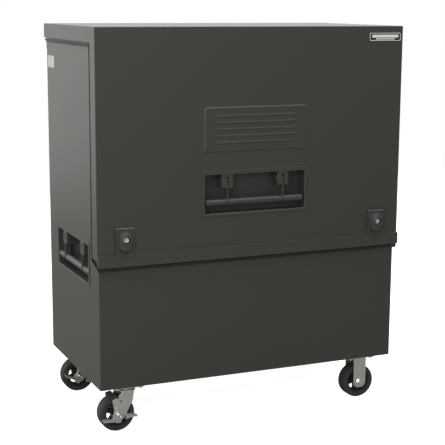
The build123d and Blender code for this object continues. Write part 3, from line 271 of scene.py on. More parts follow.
# ------------------------------------------------------------------ surfaces
class Shape:
    """Surfaces gathered as whole arrays and put into one closed mesh."""

    NEAR = 1e-7
    WELD = 2e-6
    SHARP = 34.0
    NORMAL_WEIGHT = 60
    HEAD_STEPS = 72
    CHAMFER = 0.96
    DISH = ((0.72, 0.0), (0.64, 0.3 * MM), (0.0, 0.35 * MM))
    WASHER = 1.2 * MM
    WASHER_EDGE = 0.3 * MM

    def __init__(self) -> None:
        """Start with nothing."""
        self.points: list[np.ndarray] = []
        self.faces: list[list[int]] = []
        self.count = 0

    def add(self, points: np.ndarray, faces: np.ndarray, place: Place) -> None:
        """Add points and the faces between them, drawn in a place.

        Args:
            points: The points, in the place's own axes.
            faces: Indices into the points, one row for each face.
            place: Where they are drawn.
        """
        flat = place.put(points.reshape(-1, 3))
        self.points.append(flat)
        self.faces.extend((faces + self.count).tolist())
        self.count += len(flat)

    def grid(self, points: np.ndarray, place: Place, around: bool = True, back: bool = False) -> None:
        """Quads between neighbouring points of a grid.

        Args:
            points: Rows and columns of points.
            place: Where the grid is drawn.
            around: The last column joins the first.
            back: The last row joins the first.
        """
        index = np.arange(points.shape[0] * points.shape[1]).reshape(points.shape[:2])
        if around:
            index = np.hstack([index, index[:, :1]])
        if back:
            index = np.vstack([index, index[:1]])
        quads = [index[:-1, :-1], index[:-1, 1:], index[1:, 1:], index[1:, :-1]]
        self.add(points, np.stack(quads, -1).reshape(-1, 4), place)

    def turned(self, profile: np.ndarray, place: Place, steps: int = 64, ring: bool = False) -> None:
        """A profile of radius and height, turned about Z.

        Args:
            profile: Radius and height of each point.
            place: Where the piece is drawn.
            steps: Columns round the axis.
            ring: The profile is closed, as for a washer.
        """
        turn = np.arange(steps) / steps * TURN
        radius, height = profile[:, 0:1], profile[:, 1:2]
        rows = [radius * np.cos(turn), radius * np.sin(turn), height + 0 * turn]
        self.grid(np.stack(rows, -1), place, True, ring)

    def cap(self, outline: np.ndarray, holes: list[np.ndarray], height: float, place: Place) -> None:
        """A level face inside an outline and outside its holes, as triangles.

        Args:
            outline: The face's outer edge.
            holes: The edges of its holes.
            height: The face's level.
            place: Where it is drawn.
        """
        loops = [outline, *holes]
        starts = np.cumsum([0] + [len(loop) for loop in loops])
        edges = [
            (start + k, start + (k + 1) % len(loop))
            for start, loop in zip(starts.tolist(), loops)
            for k in range(len(loop))
        ]
        corners = [Vector(p) for p in np.concatenate(loops).tolist()]
        found = delaunay_2d_cdt(corners, edges, [], 0, self.NEAR)
        points = np.array([tuple(p) for p in found[0]])
        faces = np.array(found[2])
        middles = points[faces].mean(1)
        keep = inside(middles, outline)
        for hole in holes:
            keep &= ~inside(middles, hole)
        self.add(np.c_[points, np.full(len(points), height)], faces[keep], place)

    def plate(
        self,
        outline: np.ndarray,
        holes: list[np.ndarray],
        low: float,
        high: float,
        edge: float,
        place: Place,
    ) -> None:
        """A flat plate whose edges are quarter rounds of a small radius.

        Args:
            outline: Its outer edge.
            holes: The edges of its holes.
            low: Height of its lower face.
            high: Height of its upper face.
            edge: Radius of the rounded edges.
            place: Where it is drawn.
        """
        turn = np.linspace(0, math.pi / 2, 4)
        inward = edge * (1 - np.sin(turn))
        down = edge * (1 - np.cos(turn))
        profile = np.concatenate([np.c_[inward, high - down], np.c_[inward, low + down][::-1]])
        outer = anticlockwise(outline)
        inner = [anticlockwise(hole)[::-1] for hole in holes]
        for loop in [outer, *inner]:
            rings = [np.c_[inset(loop, a), np.full(len(loop), b)] for a, b in profile.tolist()]
            self.grid(np.stack(rings), place)
        for height in (low, high):
            self.cap(inset(outer, edge), [inset(loop, edge) for loop in inner], height, place)

    def hexagon(self, radius: float, low: float, high: float, place: Place, washer: float = 0.0) -> None:
        """A hexagon head with its upper corners turned off at 30 degrees and a shallow dish in its top.

        The radius at each turn is the hexagon's, and near the top it is capped by a cone, so the cone
        leaves the usual arcs on the flats.

        Args:
            radius: Corner radius.
            low: Height of the seat.
            high: Height of the top.
            place: Where it is drawn.
            washer: Radius of a washer under the head, or 0.
        """
        steps = self.HEAD_STEPS
        turn = np.arange(steps) / steps * TURN
        flat = radius * math.cos(math.pi / 6)
        sixth = np.mod(turn, math.pi / 3) - math.pi / 6
        hexed = flat / np.cos(sixth)
        drop = (radius - self.CHAMFER * flat) * math.tan(math.pi / 6)
        height = np.concatenate([[low], high - drop * np.linspace(1, 0, 7)])
        cone = self.CHAMFER * flat + (high - height) / math.tan(math.pi / 6)
        body = np.minimum(hexed[None], cone[:, None])
        dish = np.array([[share * flat, high - deep] for share, deep in self.DISH])
        radii = np.concatenate([np.zeros((1, steps)), body, dish[:, 0:1] + 0 * turn])
        levels = np.concatenate([[low], height, dish[:, 1]])[:, None] + 0 * turn
        self.grid(np.stack([radii * np.cos(turn), radii * np.sin(turn), levels], -1), place)
        if washer > 0:
            edge, top = self.WASHER_EDGE, low + self.WASHER
            disc = np.array([
                [0, low], [washer - edge, low], [washer, low + edge],
                [washer, top - edge], [washer - edge, top], [0, top]])
            self.turned(disc, place, 48)

    def swept(self, path: np.ndarray, section: np.ndarray, place: Place, closed: bool) -> None:
        """A section carried square along a path that lies in the place's XY plane.

        The section's first coordinate is across the path and its second is height.

        Args:
            path: Points along the path.
            section: Points round the section.
            place: Where the piece is drawn.
            closed: The path ends where it starts.
        """
        ahead = np.roll(path, -1, 0) - np.roll(path, 1, 0)
        if not closed:
            ahead[0], ahead[-1] = path[1] - path[0], path[-1] - path[-2]
        ahead = ahead / np.linalg.norm(ahead, axis=1, keepdims=True)
        across = np.stack([ahead[:, 1], -ahead[:, 0]], 1)
        flat = path[:, None] + across[:, None] * section[None, :, 0:1]
        height = section[None, :, 1:2] + 0 * flat[..., 0:1]
        self.grid(np.concatenate([flat, height], -1), place, True, closed)

    def piece(self, name: str, finish: "Finish", body: str, slot: str, *nodes: str) -> bpy.types.Object:
        """Put everything gathered into one object, close and smooth it, and let it ride on a body.

        Args:
            name: The object's name.
            finish: What it is dressed in.
            body: The body it moves with.
            slot: The record's material slot; not used.
            *nodes: CAD nodes that it stands for.

        Returns:
            The object.
        """
        mesh = bpy.data.meshes.new(name)
        mesh.from_pydata(np.concatenate(self.points), [], self.faces)
        work = bmesh.new()
        work.from_mesh(mesh)
        bmesh.ops.remove_doubles(work, verts=work.verts, dist=self.WELD)
        bmesh.ops.dissolve_degenerate(work, edges=work.edges, dist=self.NEAR)
        bmesh.ops.recalc_face_normals(work, faces=work.faces)
        work.to_mesh(mesh)
        work.free()
        mesh.polygons.foreach_set("use_smooth", np.ones(len(mesh.polygons), bool))
        mesh.set_sharp_from_angle(angle=math.radians(self.SHARP))
        mesh.materials.append(finish.material())
        thing = bpy.data.objects.new(name, mesh)
        bpy.context.scene.collection.objects.link(thing)
        weighted = thing.modifiers.new("face_weights", "WEIGHTED_NORMAL")
        weighted.keep_sharp = True
        weighted.weight = self.NORMAL_WEIGHT
        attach(thing, body)
        if nodes:
            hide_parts(*nodes)
        log.info("%s on %s, %d faces", name, body, len(mesh.polygons))
        return thing


# ------------------------------------------------------------------ shared effects
class Effect(Enum):
    """The node groups that several finishes use."""

    EDGES = "edge_marks_and_painted_highlights"
    GRAIN = "surface_grain"
    DUST = "settled_dust"


def new_group(effect: Effect, inputs: dict[str, float], outputs: list[str]) -> bpy.types.NodeTree:
    """An empty node group with named number inputs and outputs.

    Args:
        effect: The effect that the group will make.
        inputs: Each input's name and its usual value.
        outputs: The names of the outputs.

    Returns:
        The group's tree.
    """
    tree = bpy.data.node_groups.new(effect.value, "ShaderNodeTree")
    for name, value in inputs.items():
        made = tree.interface.new_socket(name, in_out="INPUT", socket_type="NodeSocketFloat")
        made.default_value = value
    for name in outputs:
        tree.interface.new_socket(name, in_out="OUTPUT", socket_type="NodeSocketFloat")
    return tree


class Wiring:
    """Short ways to add and join nodes in one tree."""

    def __init__(self, tree: bpy.types.NodeTree) -> None:
        """Work in a tree."""
        self.tree = tree

    def node(self, kind: str, **settings: object) -> bpy.types.Node:
        """A new node with its properties set.

        Args:
            kind: Blender's name for the node.
            **settings: The properties' values.

        Returns:
            The node.
        """
        made = self.tree.nodes.new(kind)
        for name, value in settings.items():
            setattr(made, name, value)
        return made

    def feed(self, socket: bpy.types.NodeSocket, value: object) -> None:
        """Join an output to a socket, or set the socket's own value.

        Args:
            socket: The input to feed.
            value: An output, a number or a colour.
        """
        if isinstance(value, bpy.types.NodeSocket):
            self.tree.links.new(value, socket)
        else:
            socket.default_value = value

    def maths(self, operation: str, *values: object, clamp: bool = False) -> bpy.types.NodeSocket:
        """The result of one Math node.

        Args:
            operation: The node's operation.
            *values: What its inputs are fed with.
            clamp: The result is kept between 0 and 1.

        Returns:
            The node's output.
        """
        made = self.node("ShaderNodeMath", operation=operation, use_clamp=clamp)
        for socket, value in zip(made.inputs, values):
            self.feed(socket, value)
        return made.outputs[0]

    def spread(
        self,
        value: object,
        low: float,
        high: float,
        start: float,
        end: float,
    ) -> bpy.types.NodeSocket:
        """A value moved smoothly from one range to another, and kept in it.

        Args:
            value: The value to move.
            low: Where the first range starts.
            high: Where the first range ends.
            start: What the result is at low.
            end: What the result is at high.

        Returns:
            The moved value.
        """
        made = self.node("ShaderNodeMapRange", interpolation_type="SMOOTHSTEP")
        names = ("Value", "From Min", "From Max", "To Min", "To Max")
        for name, given in zip(names, (value, low, high, start, end)):
            self.feed(made.inputs[name], given)
        return made.outputs["Result"]

    def noise(self, scale: object, detail: float = 2.0, stretch: tuple = (1, 1, 1)) -> bpy.types.NodeSocket:
        """Noise on the piece's own coordinates.

        Args:
            scale: Waves per metre, roughly.
            detail: How many finer layers are added.
            stretch: Scale along each axis.

        Returns:
            The noise, about 0.5 on average.
        """
        where = self.node("ShaderNodeTexCoord").outputs["Object"]
        if stretch != (1, 1, 1):
            mapping = self.node("ShaderNodeMapping")
            self.feed(mapping.inputs["Vector"], where)
            mapping.inputs["Scale"].default_value = stretch
            where = mapping.outputs["Vector"]
        made = self.node("ShaderNodeTexNoise")
        self.feed(made.inputs["Vector"], where)
        self.feed(made.inputs["Scale"], scale)
        made.inputs["Detail"].default_value = detail
        return made.outputs["Fac"]

    def mixed(self, share: object, first: object, second: object) -> bpy.types.NodeSocket:
        """Two colours mixed by a share.

        Args:
            share: How much of the second colour there is.
            first: The first colour.
            second: The second colour.

        Returns:
            The mixed colour.
        """
        made = self.node("ShaderNodeMix", data_type="RGBA")
        self.feed(made.inputs[0], share)
        self.feed(made.inputs[6], first)
        self.feed(made.inputs[7], second)
        return made.outputs[2]

    def group(self, effect: Effect, **values: float) -> bpy.types.Node:
        """A shared effect, built once, with its own values here.

        Args:
            effect: Which effect.
            **values: The group's inputs, by their names in small letters.

        Returns:
            The group's node.
        """
        made = self.node("ShaderNodeGroup", node_tree=effect_group(effect))
        for name, value in values.items():
            made.inputs[name.capitalize()].default_value = value
        return made


def edges_group() -> bpy.types.NodeTree:
    """Edges scuffed and lit, partly wear and partly a painted highlight: how far a rounded normal turns from
    the plain one, broken up by noise.

    Returns:
        The group's tree.
    """
    tree = new_group(Effect.EDGES, {"Radius": 0.0012, "Break": 90.0}, ["Mask"])
    wire = Wiring(tree)
    given, out = wire.node("NodeGroupInput"), wire.node("NodeGroupOutput")
    soft = wire.node("ShaderNodeBevel", samples=6)
    wire.feed(soft.inputs["Radius"], given.outputs["Radius"])
    dot = wire.node("ShaderNodeVectorMath", operation="DOT_PRODUCT")
    wire.feed(dot.inputs[0], soft.outputs["Normal"])
    wire.feed(dot.inputs[1], wire.node("ShaderNodeNewGeometry").outputs["Normal"])
    turned = wire.maths("SUBTRACT", 1.0, dot.outputs["Value"])
    broken = wire.spread(wire.noise(given.outputs["Break"], 4.0), 0.35, 0.62, 0.35, 1.0)
    scuffed_and_highlit = wire.spread(turned, 0.02, 0.22, 0.0, 1.0)
    wire.feed(out.inputs["Mask"], wire.maths("MULTIPLY", scuffed_and_highlit, broken))
    return tree


def grain_group() -> bpy.types.NodeTree:
    """Surface grain: fine noise as a height, and broad noise as a tone that drifts over the piece.

    Returns:
        The group's tree.
    """
    tree = new_group(Effect.GRAIN, {"Fine": 1400.0, "Broad": 3.0}, ["Height", "Tone"])
    wire = Wiring(tree)
    given, out = wire.node("NodeGroupInput"), wire.node("NodeGroupOutput")
    fine = wire.noise(given.outputs["Fine"], 1.0)
    middle = wire.noise(wire.maths("MULTIPLY", given.outputs["Fine"], 0.3), 2.0)
    wire.feed(out.inputs["Height"], wire.maths("ADD", wire.maths("MULTIPLY", fine, 0.6), middle))
    broad = wire.noise(given.outputs["Broad"], 5.0)
    wire.feed(out.inputs["Tone"], wire.spread(broad, 0.3, 0.7, 0.0, 1.0))
    return tree


def dust_group() -> bpy.types.NodeTree:
    """Settled dust: faces that look up in the piece's own axes, patched by noise.

    Returns:
        The group's tree.
    """
    tree = new_group(Effect.DUST, {"Patch": 14.0, "Amount": 0.3}, ["Mask"])
    wire = Wiring(tree)
    given, out = wire.node("NodeGroupInput"), wire.node("NodeGroupOutput")
    parts = wire.node("ShaderNodeSeparateXYZ")
    wire.feed(parts.inputs[0], wire.node("ShaderNodeTexCoord").outputs["Normal"])
    up = wire.spread(parts.outputs["Z"], 0.35, 0.95, 0.0, 1.0)
    patch = wire.spread(wire.noise(given.outputs["Patch"], 6.0), 0.35, 0.75, 0.2, 1.0)
    share = wire.maths("MULTIPLY", wire.maths("MULTIPLY", up, patch), given.outputs["Amount"])
    wire.feed(out.inputs["Mask"], share)
    return tree


def effect_group(effect: Effect) -> bpy.types.NodeTree:
    """A shared effect's node group, built the first time it is asked for."""
    makers = {Effect.EDGES: edges_group, Effect.GRAIN: grain_group, Effect.DUST: dust_group}
    return bpy.data.node_groups.get(effect.value) or makers[effect]()


# ------------------------------------------------------------------ finishes
Colour = tuple[float, float, float]
COAT_ROUGHNESS = 0.12
DUST_COLOUR = (0.32, 0.30, 0.27, 1)
DUST_ROUGHENS = 0.5
RUBBING_SMOOTHS = 0.12


@dataclass(frozen=True)
class Finish:
    """A painted, plated, moulded or cast surface.

    The colour drifts by a tone, edges turn to a second colour that is partly wear and partly a painted
    highlight, dust lies on what looks up, and a fine grain lifts the surface.
    """

    name: str
    colour: Colour
    drift: Colour
    # Edge colour, amount and radius: partly wear, partly a painted highlight along convex edges.
    scuff_and_highlight_colour: Colour
    roughness: float
    roughness_swing: float = 0.08
    metallic: float = 0.0
    specular: float = 0.5
    coat: float = 0.0
    scuff_and_highlight: float = 0.5
    scuff_and_highlight_radius: float = 1.2 * MM
    grain_scale: float = 1400.0
    grain_height: float = 0.03 * MM
    broad_scale: float = 3.0
    dust: float = 0.15

    def material(self) -> bpy.types.Material:
        """The finish as a material, built the first time it is asked for.

        Returns:
            The material.
        """
        made = bpy.data.materials.get(self.name)
        if made is not None:
            return made
        made = bpy.data.materials.new(self.name)
        made.use_nodes = True
        wire = Wiring(made.node_tree)
        shader = made.node_tree.nodes["Principled BSDF"]
        shader.inputs["Metallic"].default_value = self.metallic
        shader.inputs["Specular IOR Level"].default_value = self.specular
        shader.inputs["Coat Weight"].default_value = self.coat
        shader.inputs["Coat Roughness"].default_value = COAT_ROUGHNESS
        grain = wire.group(Effect.GRAIN, fine=self.grain_scale, broad=self.broad_scale)
        edges = wire.group(Effect.EDGES, radius=self.scuff_and_highlight_radius)
        dust = wire.group(Effect.DUST, amount=self.dust)
        # Edge mask times its amount: partly wear, partly a painted highlight along convex edges.
        scuffed_and_highlit = wire.maths("MULTIPLY", edges.outputs["Mask"], self.scuff_and_highlight)
        tone = wire.mixed(grain.outputs["Tone"], (*self.colour, 1), (*self.drift, 1))
        tone = wire.mixed(dust.outputs["Mask"], tone, DUST_COLOUR)
        wire.feed(shader.inputs["Base Color"], wire.mixed(scuffed_and_highlit, tone, (*self.scuff_and_highlight_colour, 1)))
        rough = wire.maths("MULTIPLY_ADD", grain.outputs["Tone"], self.roughness_swing, self.roughness)
        rough = wire.maths("MULTIPLY_ADD", dust.outputs["Mask"], DUST_ROUGHENS, rough)
        rough = wire.maths("MULTIPLY_ADD", scuffed_and_highlit, -RUBBING_SMOOTHS, rough, clamp=True)
        wire.feed(shader.inputs["Roughness"], rough)
        bump = wire.node("ShaderNodeBump")
        bump.inputs["Distance"].default_value = self.grain_height
        wire.feed(bump.inputs["Height"], grain.outputs["Height"])
        soft = wire.node("ShaderNodeBevel", samples=4)
        soft.inputs["Radius"].default_value = self.scuff_and_highlight_radius / 2
        wire.feed(bump.inputs["Normal"], soft.outputs["Normal"])
        wire.feed(shader.inputs["Normal"], bump.outputs["Normal"])
        return made


# The paint's light edge colour is partly wear and partly a painted highlight along the sheet edges.
PAINT = Finish(
    "charcoal_paint", (0.0165, 0.0160, 0.0192), (0.0200, 0.0194, 0.0230), (0.17, 0.166, 0.155),
    roughness=0.36, specular=0.36, scuff_and_highlight=0.7, scuff_and_highlight_radius=1.5 * MM, grain_scale=900.0,
    grain_height=0.035 * MM, dust=0.10)
# A light paint that is a painted highlight: the bright line of light caught along rolled pocket rims and lock
# tab edges.
HIGHLIGHT_PAINT = Finish(
    "painted_highlight_paint", (0.085, 0.082, 0.075), (0.12, 0.116, 0.106), (0.3, 0.29, 0.27),
    roughness=0.3, specular=0.6, scuff_and_highlight=0.5, grain_scale=900.0, broad_scale=30.0, dust=0.08)
BADGE_GROUND = Finish(
    "badge_enamel", (0.015, 0.015, 0.016), (0.02, 0.02, 0.02), (0.04, 0.04, 0.04),
    roughness=0.2, coat=0.6, scuff_and_highlight=0.2, grain_height=0.004 * MM, dust=0.03)
BADGE_METAL = Finish(
    "badge_border", (0.78, 0.78, 0.76), (0.84, 0.84, 0.82), (0.92, 0.92, 0.9),
    roughness=0.3, metallic=0.45, scuff_and_highlight=0.3, grain_height=0.004 * MM, dust=0.02)
PLASTIC = Finish(
    "black_plastic", (0.024, 0.0235, 0.0225), (0.032, 0.031, 0.0295), (0.08, 0.078, 0.074),
    roughness=0.26, specular=0.8, coat=1.0, scuff_and_highlight=0.35, grain_scale=2600.0,
    grain_height=0.05 * MM, dust=0.22)
BRIGHT_ZINC = Finish(
    "bright_zinc", (0.78, 0.77, 0.74), (0.68, 0.68, 0.66), (0.92, 0.92, 0.9),
    roughness=0.22, metallic=0.9, scuff_and_highlight=0.4, scuff_and_highlight_radius=0.5 * MM, grain_scale=3000.0,
    grain_height=0.008 * MM, broad_scale=60.0, dust=0.05)
PLUG_METAL = Finish(
    "dull_bright_zinc", (0.80, 0.80, 0.78), (0.72, 0.72, 0.70), (0.95, 0.95, 0.93),
    roughness=0.3, metallic=0.5, scuff_and_highlight=0.5, scuff_and_highlight_radius=0.5 * MM, grain_scale=3000.0,
    grain_height=0.01 * MM, broad_scale=60.0, dust=0.05)
ZINC = Finish(
    "zinc_plate", (0.82, 0.82, 0.79), (0.90, 0.90, 0.87), (0.95, 0.95, 0.92),
    roughness=0.36, roughness_swing=0.14, metallic=0.2, scuff_and_highlight=0.6, scuff_and_highlight_radius=0.9 * MM,
    grain_scale=2200.0, grain_height=0.02 * MM, broad_scale=38.0, dust=0.12)
STRUT_BLACK = Finish(
    "strut_black", (0.012, 0.012, 0.012), (0.017, 0.017, 0.017), (0.05, 0.05, 0.05),
    roughness=0.22, coat=0.4, scuff_and_highlight=0.3, grain_height=0.01 * MM, dust=0.08)
ROD_STEEL = Finish(
    "polished_rod", (0.7, 0.7, 0.7), (0.76, 0.76, 0.76), (0.9, 0.9, 0.9),
    roughness=0.12, metallic=1.0, scuff_and_highlight=0.2, grain_height=0.004 * MM, broad_scale=30.0, dust=0.04)
CAST = Finish(
    "cast_black", (0.030, 0.030, 0.0295), (0.042, 0.042, 0.041), (0.09, 0.088, 0.082),
    roughness=0.52, specular=0.4, scuff_and_highlight=0.4, scuff_and_highlight_radius=0.9 * MM, grain_scale=1500.0,
    grain_height=0.14 * MM, broad_scale=22.0, dust=0.18)
RUBBER = Finish(
    "black_rubber", (0.031, 0.031, 0.0315), (0.045, 0.044, 0.044), (0.10, 0.098, 0.092),
    roughness=0.5, specular=0.5, scuff_and_highlight=0.25, scuff_and_highlight_radius=2.0 * MM, grain_scale=1800.0,
    grain_height=0.07 * MM, broad_scale=26.0, dust=0.2)
STRAP_BLACK = Finish(
    "strap_black", (0.016, 0.016, 0.016), (0.024, 0.024, 0.023), (0.2, 0.2, 0.19),
    roughness=0.4, scuff_and_highlight=0.6, scuff_and_highlight_radius=0.8 * MM, grain_scale=1800.0, grain_height=0.03 * MM,
    broad_scale=40.0, dust=0.15)
VINYL = Finish(
    "label_vinyl", (0.36, 0.36, 0.35), (0.31, 0.31, 0.30), (0.36, 0.36, 0.35),
    roughness=0.38, scuff_and_highlight=0.2, grain_scale=2400.0, grain_height=0.006 * MM,
    broad_scale=20.0, dust=0.0)
LABEL_INK = Finish(
    "label_border", (0.26, 0.26, 0.255), (0.3, 0.3, 0.29), (0.32, 0.32, 0.32),
    roughness=0.4, scuff_and_highlight=0.0, grain_height=0.004 * MM, dust=0.0)

SLOT_FINISHES = {
    "charcoal_paint": PAINT,
    "badge_enamel": BADGE_GROUND,
    "black_plastic": PLASTIC,
    "bright_zinc": BRIGHT_ZINC,
    "zinc_plate": ZINC,
    "strut_black": STRUT_BLACK,
    "polished_rod": ROD_STEEL,
    "cast_black": CAST,
    "black_rubber": RUBBER,
}


@dataclass
class CarriedOver:
    """The CAD nodes that stay as they are: sheet metal, struts, hinge and brackets."""

    slots: dict[str, str] = field(default_factory=dict)

    def __post_init__(self) -> None:
        """Read each node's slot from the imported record."""
        self.slots = {part["node"]: part["material_slot"] for part in frame["record"]["subparts"]}

    def dress(self) -> None:
        """Give every node the finish of its slot."""
        for name, thing in frame["nodes"].items():
            finish = SLOT_FINISHES[self.slots.get(name, "charcoal_paint")]
            thing.data.materials.clear()
            thing.data.materials.append(finish.material())
            log.info("%s dressed in %s", name, finish.name)


# ------------------------------------------------------------------ castors
@dataclass
class Wheel:
    """One wheel: a cast core with five spokes, and a solid tyre.

    The tyre and the rim are closed profiles turned about the axle.  The web is a plate with five rounded
    windows, and each spoke carries a tapering ridge on both faces.
    """

    name: str
    body: str
    rim_radius: float = 46 * MM
    rim_inside: float = 40.5 * MM
    rim_half: float = 21.5 * MM
    web_half: float = 6.5 * MM
    hub_radius: float = 17 * MM
    hub_half: float = 30.6 * MM
    bore: float = 6.05 * MM
    spokes: int = 5
    spoke_hub: float = 12 * MM
    spoke_rim: float = 7.5 * MM
    spoke_start: float = 67.0
    shoulder: float = 6 * MM
    crown: float = 20 * MM
    rim_steps: int = 112
    window_from_hub: float = 3.5 * MM
    window_from_rim: float = 2.5 * MM
    window_bulge: float = 1.005
    ridge_in_hub: float = 4 * MM
    ridge_in_rim: float = 2 * MM
    ridge_in_web: float = 1 * MM
    ridge_half: float = 5.5 * MM
    ridge_narrows: float = 2.2 * MM
    ridge_rise: float = 7.5 * MM
    ridge_sinks: float = 3.5 * MM
    nipple_at: tuple[float, float] = (15.5 * MM, 17 * MM)
    nipple_rise: float = 0.55

    def __post_init__(self) -> None:
        """Find the axle and the tyre's size."""
        low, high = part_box(f"{self.name}_tyre")
        middle = (low + high) / 2
        self.radius = (high.z - low.z) / 2
        self.half = (high.y - low.y) / 2
        self.place = Place.facing(tuple(middle), Facing.FRONT)

    def tyre_profile(self) -> np.ndarray:
        """Round shoulders, a moulded step on the sidewall and a bead that meets the rim.

        Returns:
            The closed profile, as radius and height.
        """
        r, h, inner = self.radius, self.half, self.rim_radius
        side = [
            (inner, self.rim_half - 1.5 * MM, 0.4 * MM),
            (inner + 1.4 * MM, h - 1.6 * MM, 1.0 * MM),
            (inner + 4.0 * MM, h - 1.4 * MM, 0.8 * MM),
            (inner + 4.9 * MM, h - 0.1 * MM, 0.6 * MM),
            (r - 0.4 * MM, h, self.shoulder),
            (r, h / 2, self.crown),
        ]
        mirrored = [(a, -b, c) for a, b, c in reversed(side)]
        return rounded(side + mirrored, 8)

    def window(self, turn: float) -> np.ndarray:
        """One window of the web: two spoke sides, an arc at the rim and a round end at the hub.

        Args:
            turn: The turn of the window's middle.

        Returns:
            The window's outline.
        """
        gap = math.pi / self.spokes
        reach = self.rim_inside - self.window_from_rim
        near = self.hub_radius + self.window_from_hub
        wide = self.spoke_hub + (self.spoke_rim - self.spoke_hub) * reach / self.rim_radius
        far_turn = gap - math.asin(wide / reach)
        near_turn = max(gap - math.asin(0.8 * self.spoke_hub / near), 0.1)
        corners = [
            (near * math.cos(-near_turn), near * math.sin(-near_turn), 3 * MM),
            (reach * math.cos(-far_turn), reach * math.sin(-far_turn), 4 * MM),
            (reach / math.cos(far_turn / 2) * self.window_bulge, 0.0, 24 * MM),
            (reach * math.cos(far_turn), reach * math.sin(far_turn), 4 * MM),
            (near * math.cos(near_turn), near * math.sin(near_turn), 3 * MM),
        ]
        outline = rounded(corners, 6)
        cos, sin = math.cos(turn), math.sin(turn)
        return outline @ np.array([[cos, sin], [-sin, cos]])

    def ridge(self, core: Shape, turn: float, side: int) -> None:
        """A ridge along one spoke: a half round that narrows and sinks towards the rim.

        Args:
            core: The shape that the ridge is added to.
            turn: The spoke's turn.
            side: 1 for the face on the side of the place's Z, -1 for the other.
        """
        along = np.linspace(0, 1, 12)[:, None]
        across = np.linspace(-1, 1, 13)[None]
        start = self.hub_radius - self.ridge_in_hub
        reach = start + along * (self.rim_inside + self.ridge_in_rim - start)
        wide = self.ridge_half - along * self.ridge_narrows
        root = self.web_half - self.ridge_in_web
        round_top = np.sqrt(np.clip(1 - across**2, 0, 1))
        lift = root + (self.ridge_rise - self.ridge_sinks * along) * round_top
        x = reach * math.cos(turn) - across * wide * math.sin(turn)
        y = reach * math.sin(turn) + across * wide * math.cos(turn)
        top = np.stack([x, y, lift * side], -1)
        foot = top.copy()
        foot[..., 2] = root * side
        ring = np.concatenate([top, foot[:, ::-1]], 1)
        core.grid(ring, self.place)
        for row in (0, -1):
            core.grid(np.stack([top[row], foot[row]]), self.place, False)

    def build(self) -> None:
        """Build the tyre and the core and dress them."""
        tyre = Shape()
        tyre.turned(self.tyre_profile(), self.place, self.rim_steps, True)
        tyre.piece(f"{self.name}_tyre_moulded", RUBBER, self.body, "black_rubber", f"{self.name}_tyre")
        core = Shape()
        r, i, h = self.rim_radius, self.rim_inside, self.rim_half
        rim = rounded([
            (r + 0.3 * MM, -h, 0.8 * MM), (r + 0.3 * MM, h, 0.8 * MM), (i + 1.0 * MM, h, 0.8 * MM),
            (i, self.web_half + 3 * MM, 2 * MM), (i - 2 * MM, 0.0, 0.0),
            (i, -self.web_half - 3 * MM, 2 * MM), (i + 1.0 * MM, -h, 0.8 * MM)], 4)
        core.turned(rim, self.place, self.rim_steps, True)
        turns = [math.radians(self.spoke_start) + k * TURN / self.spokes for k in range(self.spokes)]
        windows = [self.window(t + math.pi / self.spokes) for t in turns]
        disc = circle(i + 1 * MM, self.rim_steps)
        core.plate(disc, windows, -self.web_half, self.web_half, 2.2 * MM, self.place)
        for turn in turns:
            for side in (-1, 1):
                self.ridge(core, turn, side)
        b, g, e = self.bore, self.hub_radius, self.hub_half
        hub = rounded([
            (b, -e, 0.4 * MM), (12.5 * MM, -e, 0.8 * MM), (13.5 * MM, -e + 3 * MM, 1.2 * MM),
            (g - 0.6 * MM, -e + 5 * MM, 1.0 * MM), (g + 1.2 * MM, 0.0, 0.0),
            (g - 0.6 * MM, e - 5 * MM, 1.0 * MM), (13.5 * MM, e - 3 * MM, 1.2 * MM),
            (12.5 * MM, e, 0.8 * MM), (b, e, 0.4 * MM)], 3)
        core.turned(hub, self.place, 72, True)
        core.piece(f"{self.name}_core_cast", CAST, self.body, "cast_black", f"{self.name}_core")
        self.nipple()

    def nipple(self) -> None:
        """A grease nipple on the hub, between two spokes: a hexagon, a neck and a ball end."""
        turn = math.radians(self.spoke_start + 180 / self.spokes + 2 * 360 / self.spokes)
        out = (math.cos(turn), math.sin(turn), self.nipple_rise)
        reach, height = self.nipple_at
        spot = (reach * math.cos(turn), reach * math.sin(turn), height)
        place = self.place.inner(spot, out, (0, 0, 1))
        small = Shape()
        small.hexagon(4.2 * MM, 0.0, 3.2 * MM, place)
        ball = np.linspace(-0.5, 1, 10) * math.pi / 2
        neck = [[0, 2.5 * MM], [2.2 * MM, 2.5 * MM], [1.6 * MM, 4.6 * MM]]
        tip = np.c_[2.1 * MM * np.cos(ball), 6.6 * MM + 2.1 * MM * np.sin(ball)]
        small.turned(np.concatenate([neck, tip]), place, 28)
        small.piece(f"{self.name}_nipple", BRIGHT_ZINC, self.body, "zinc_plate")


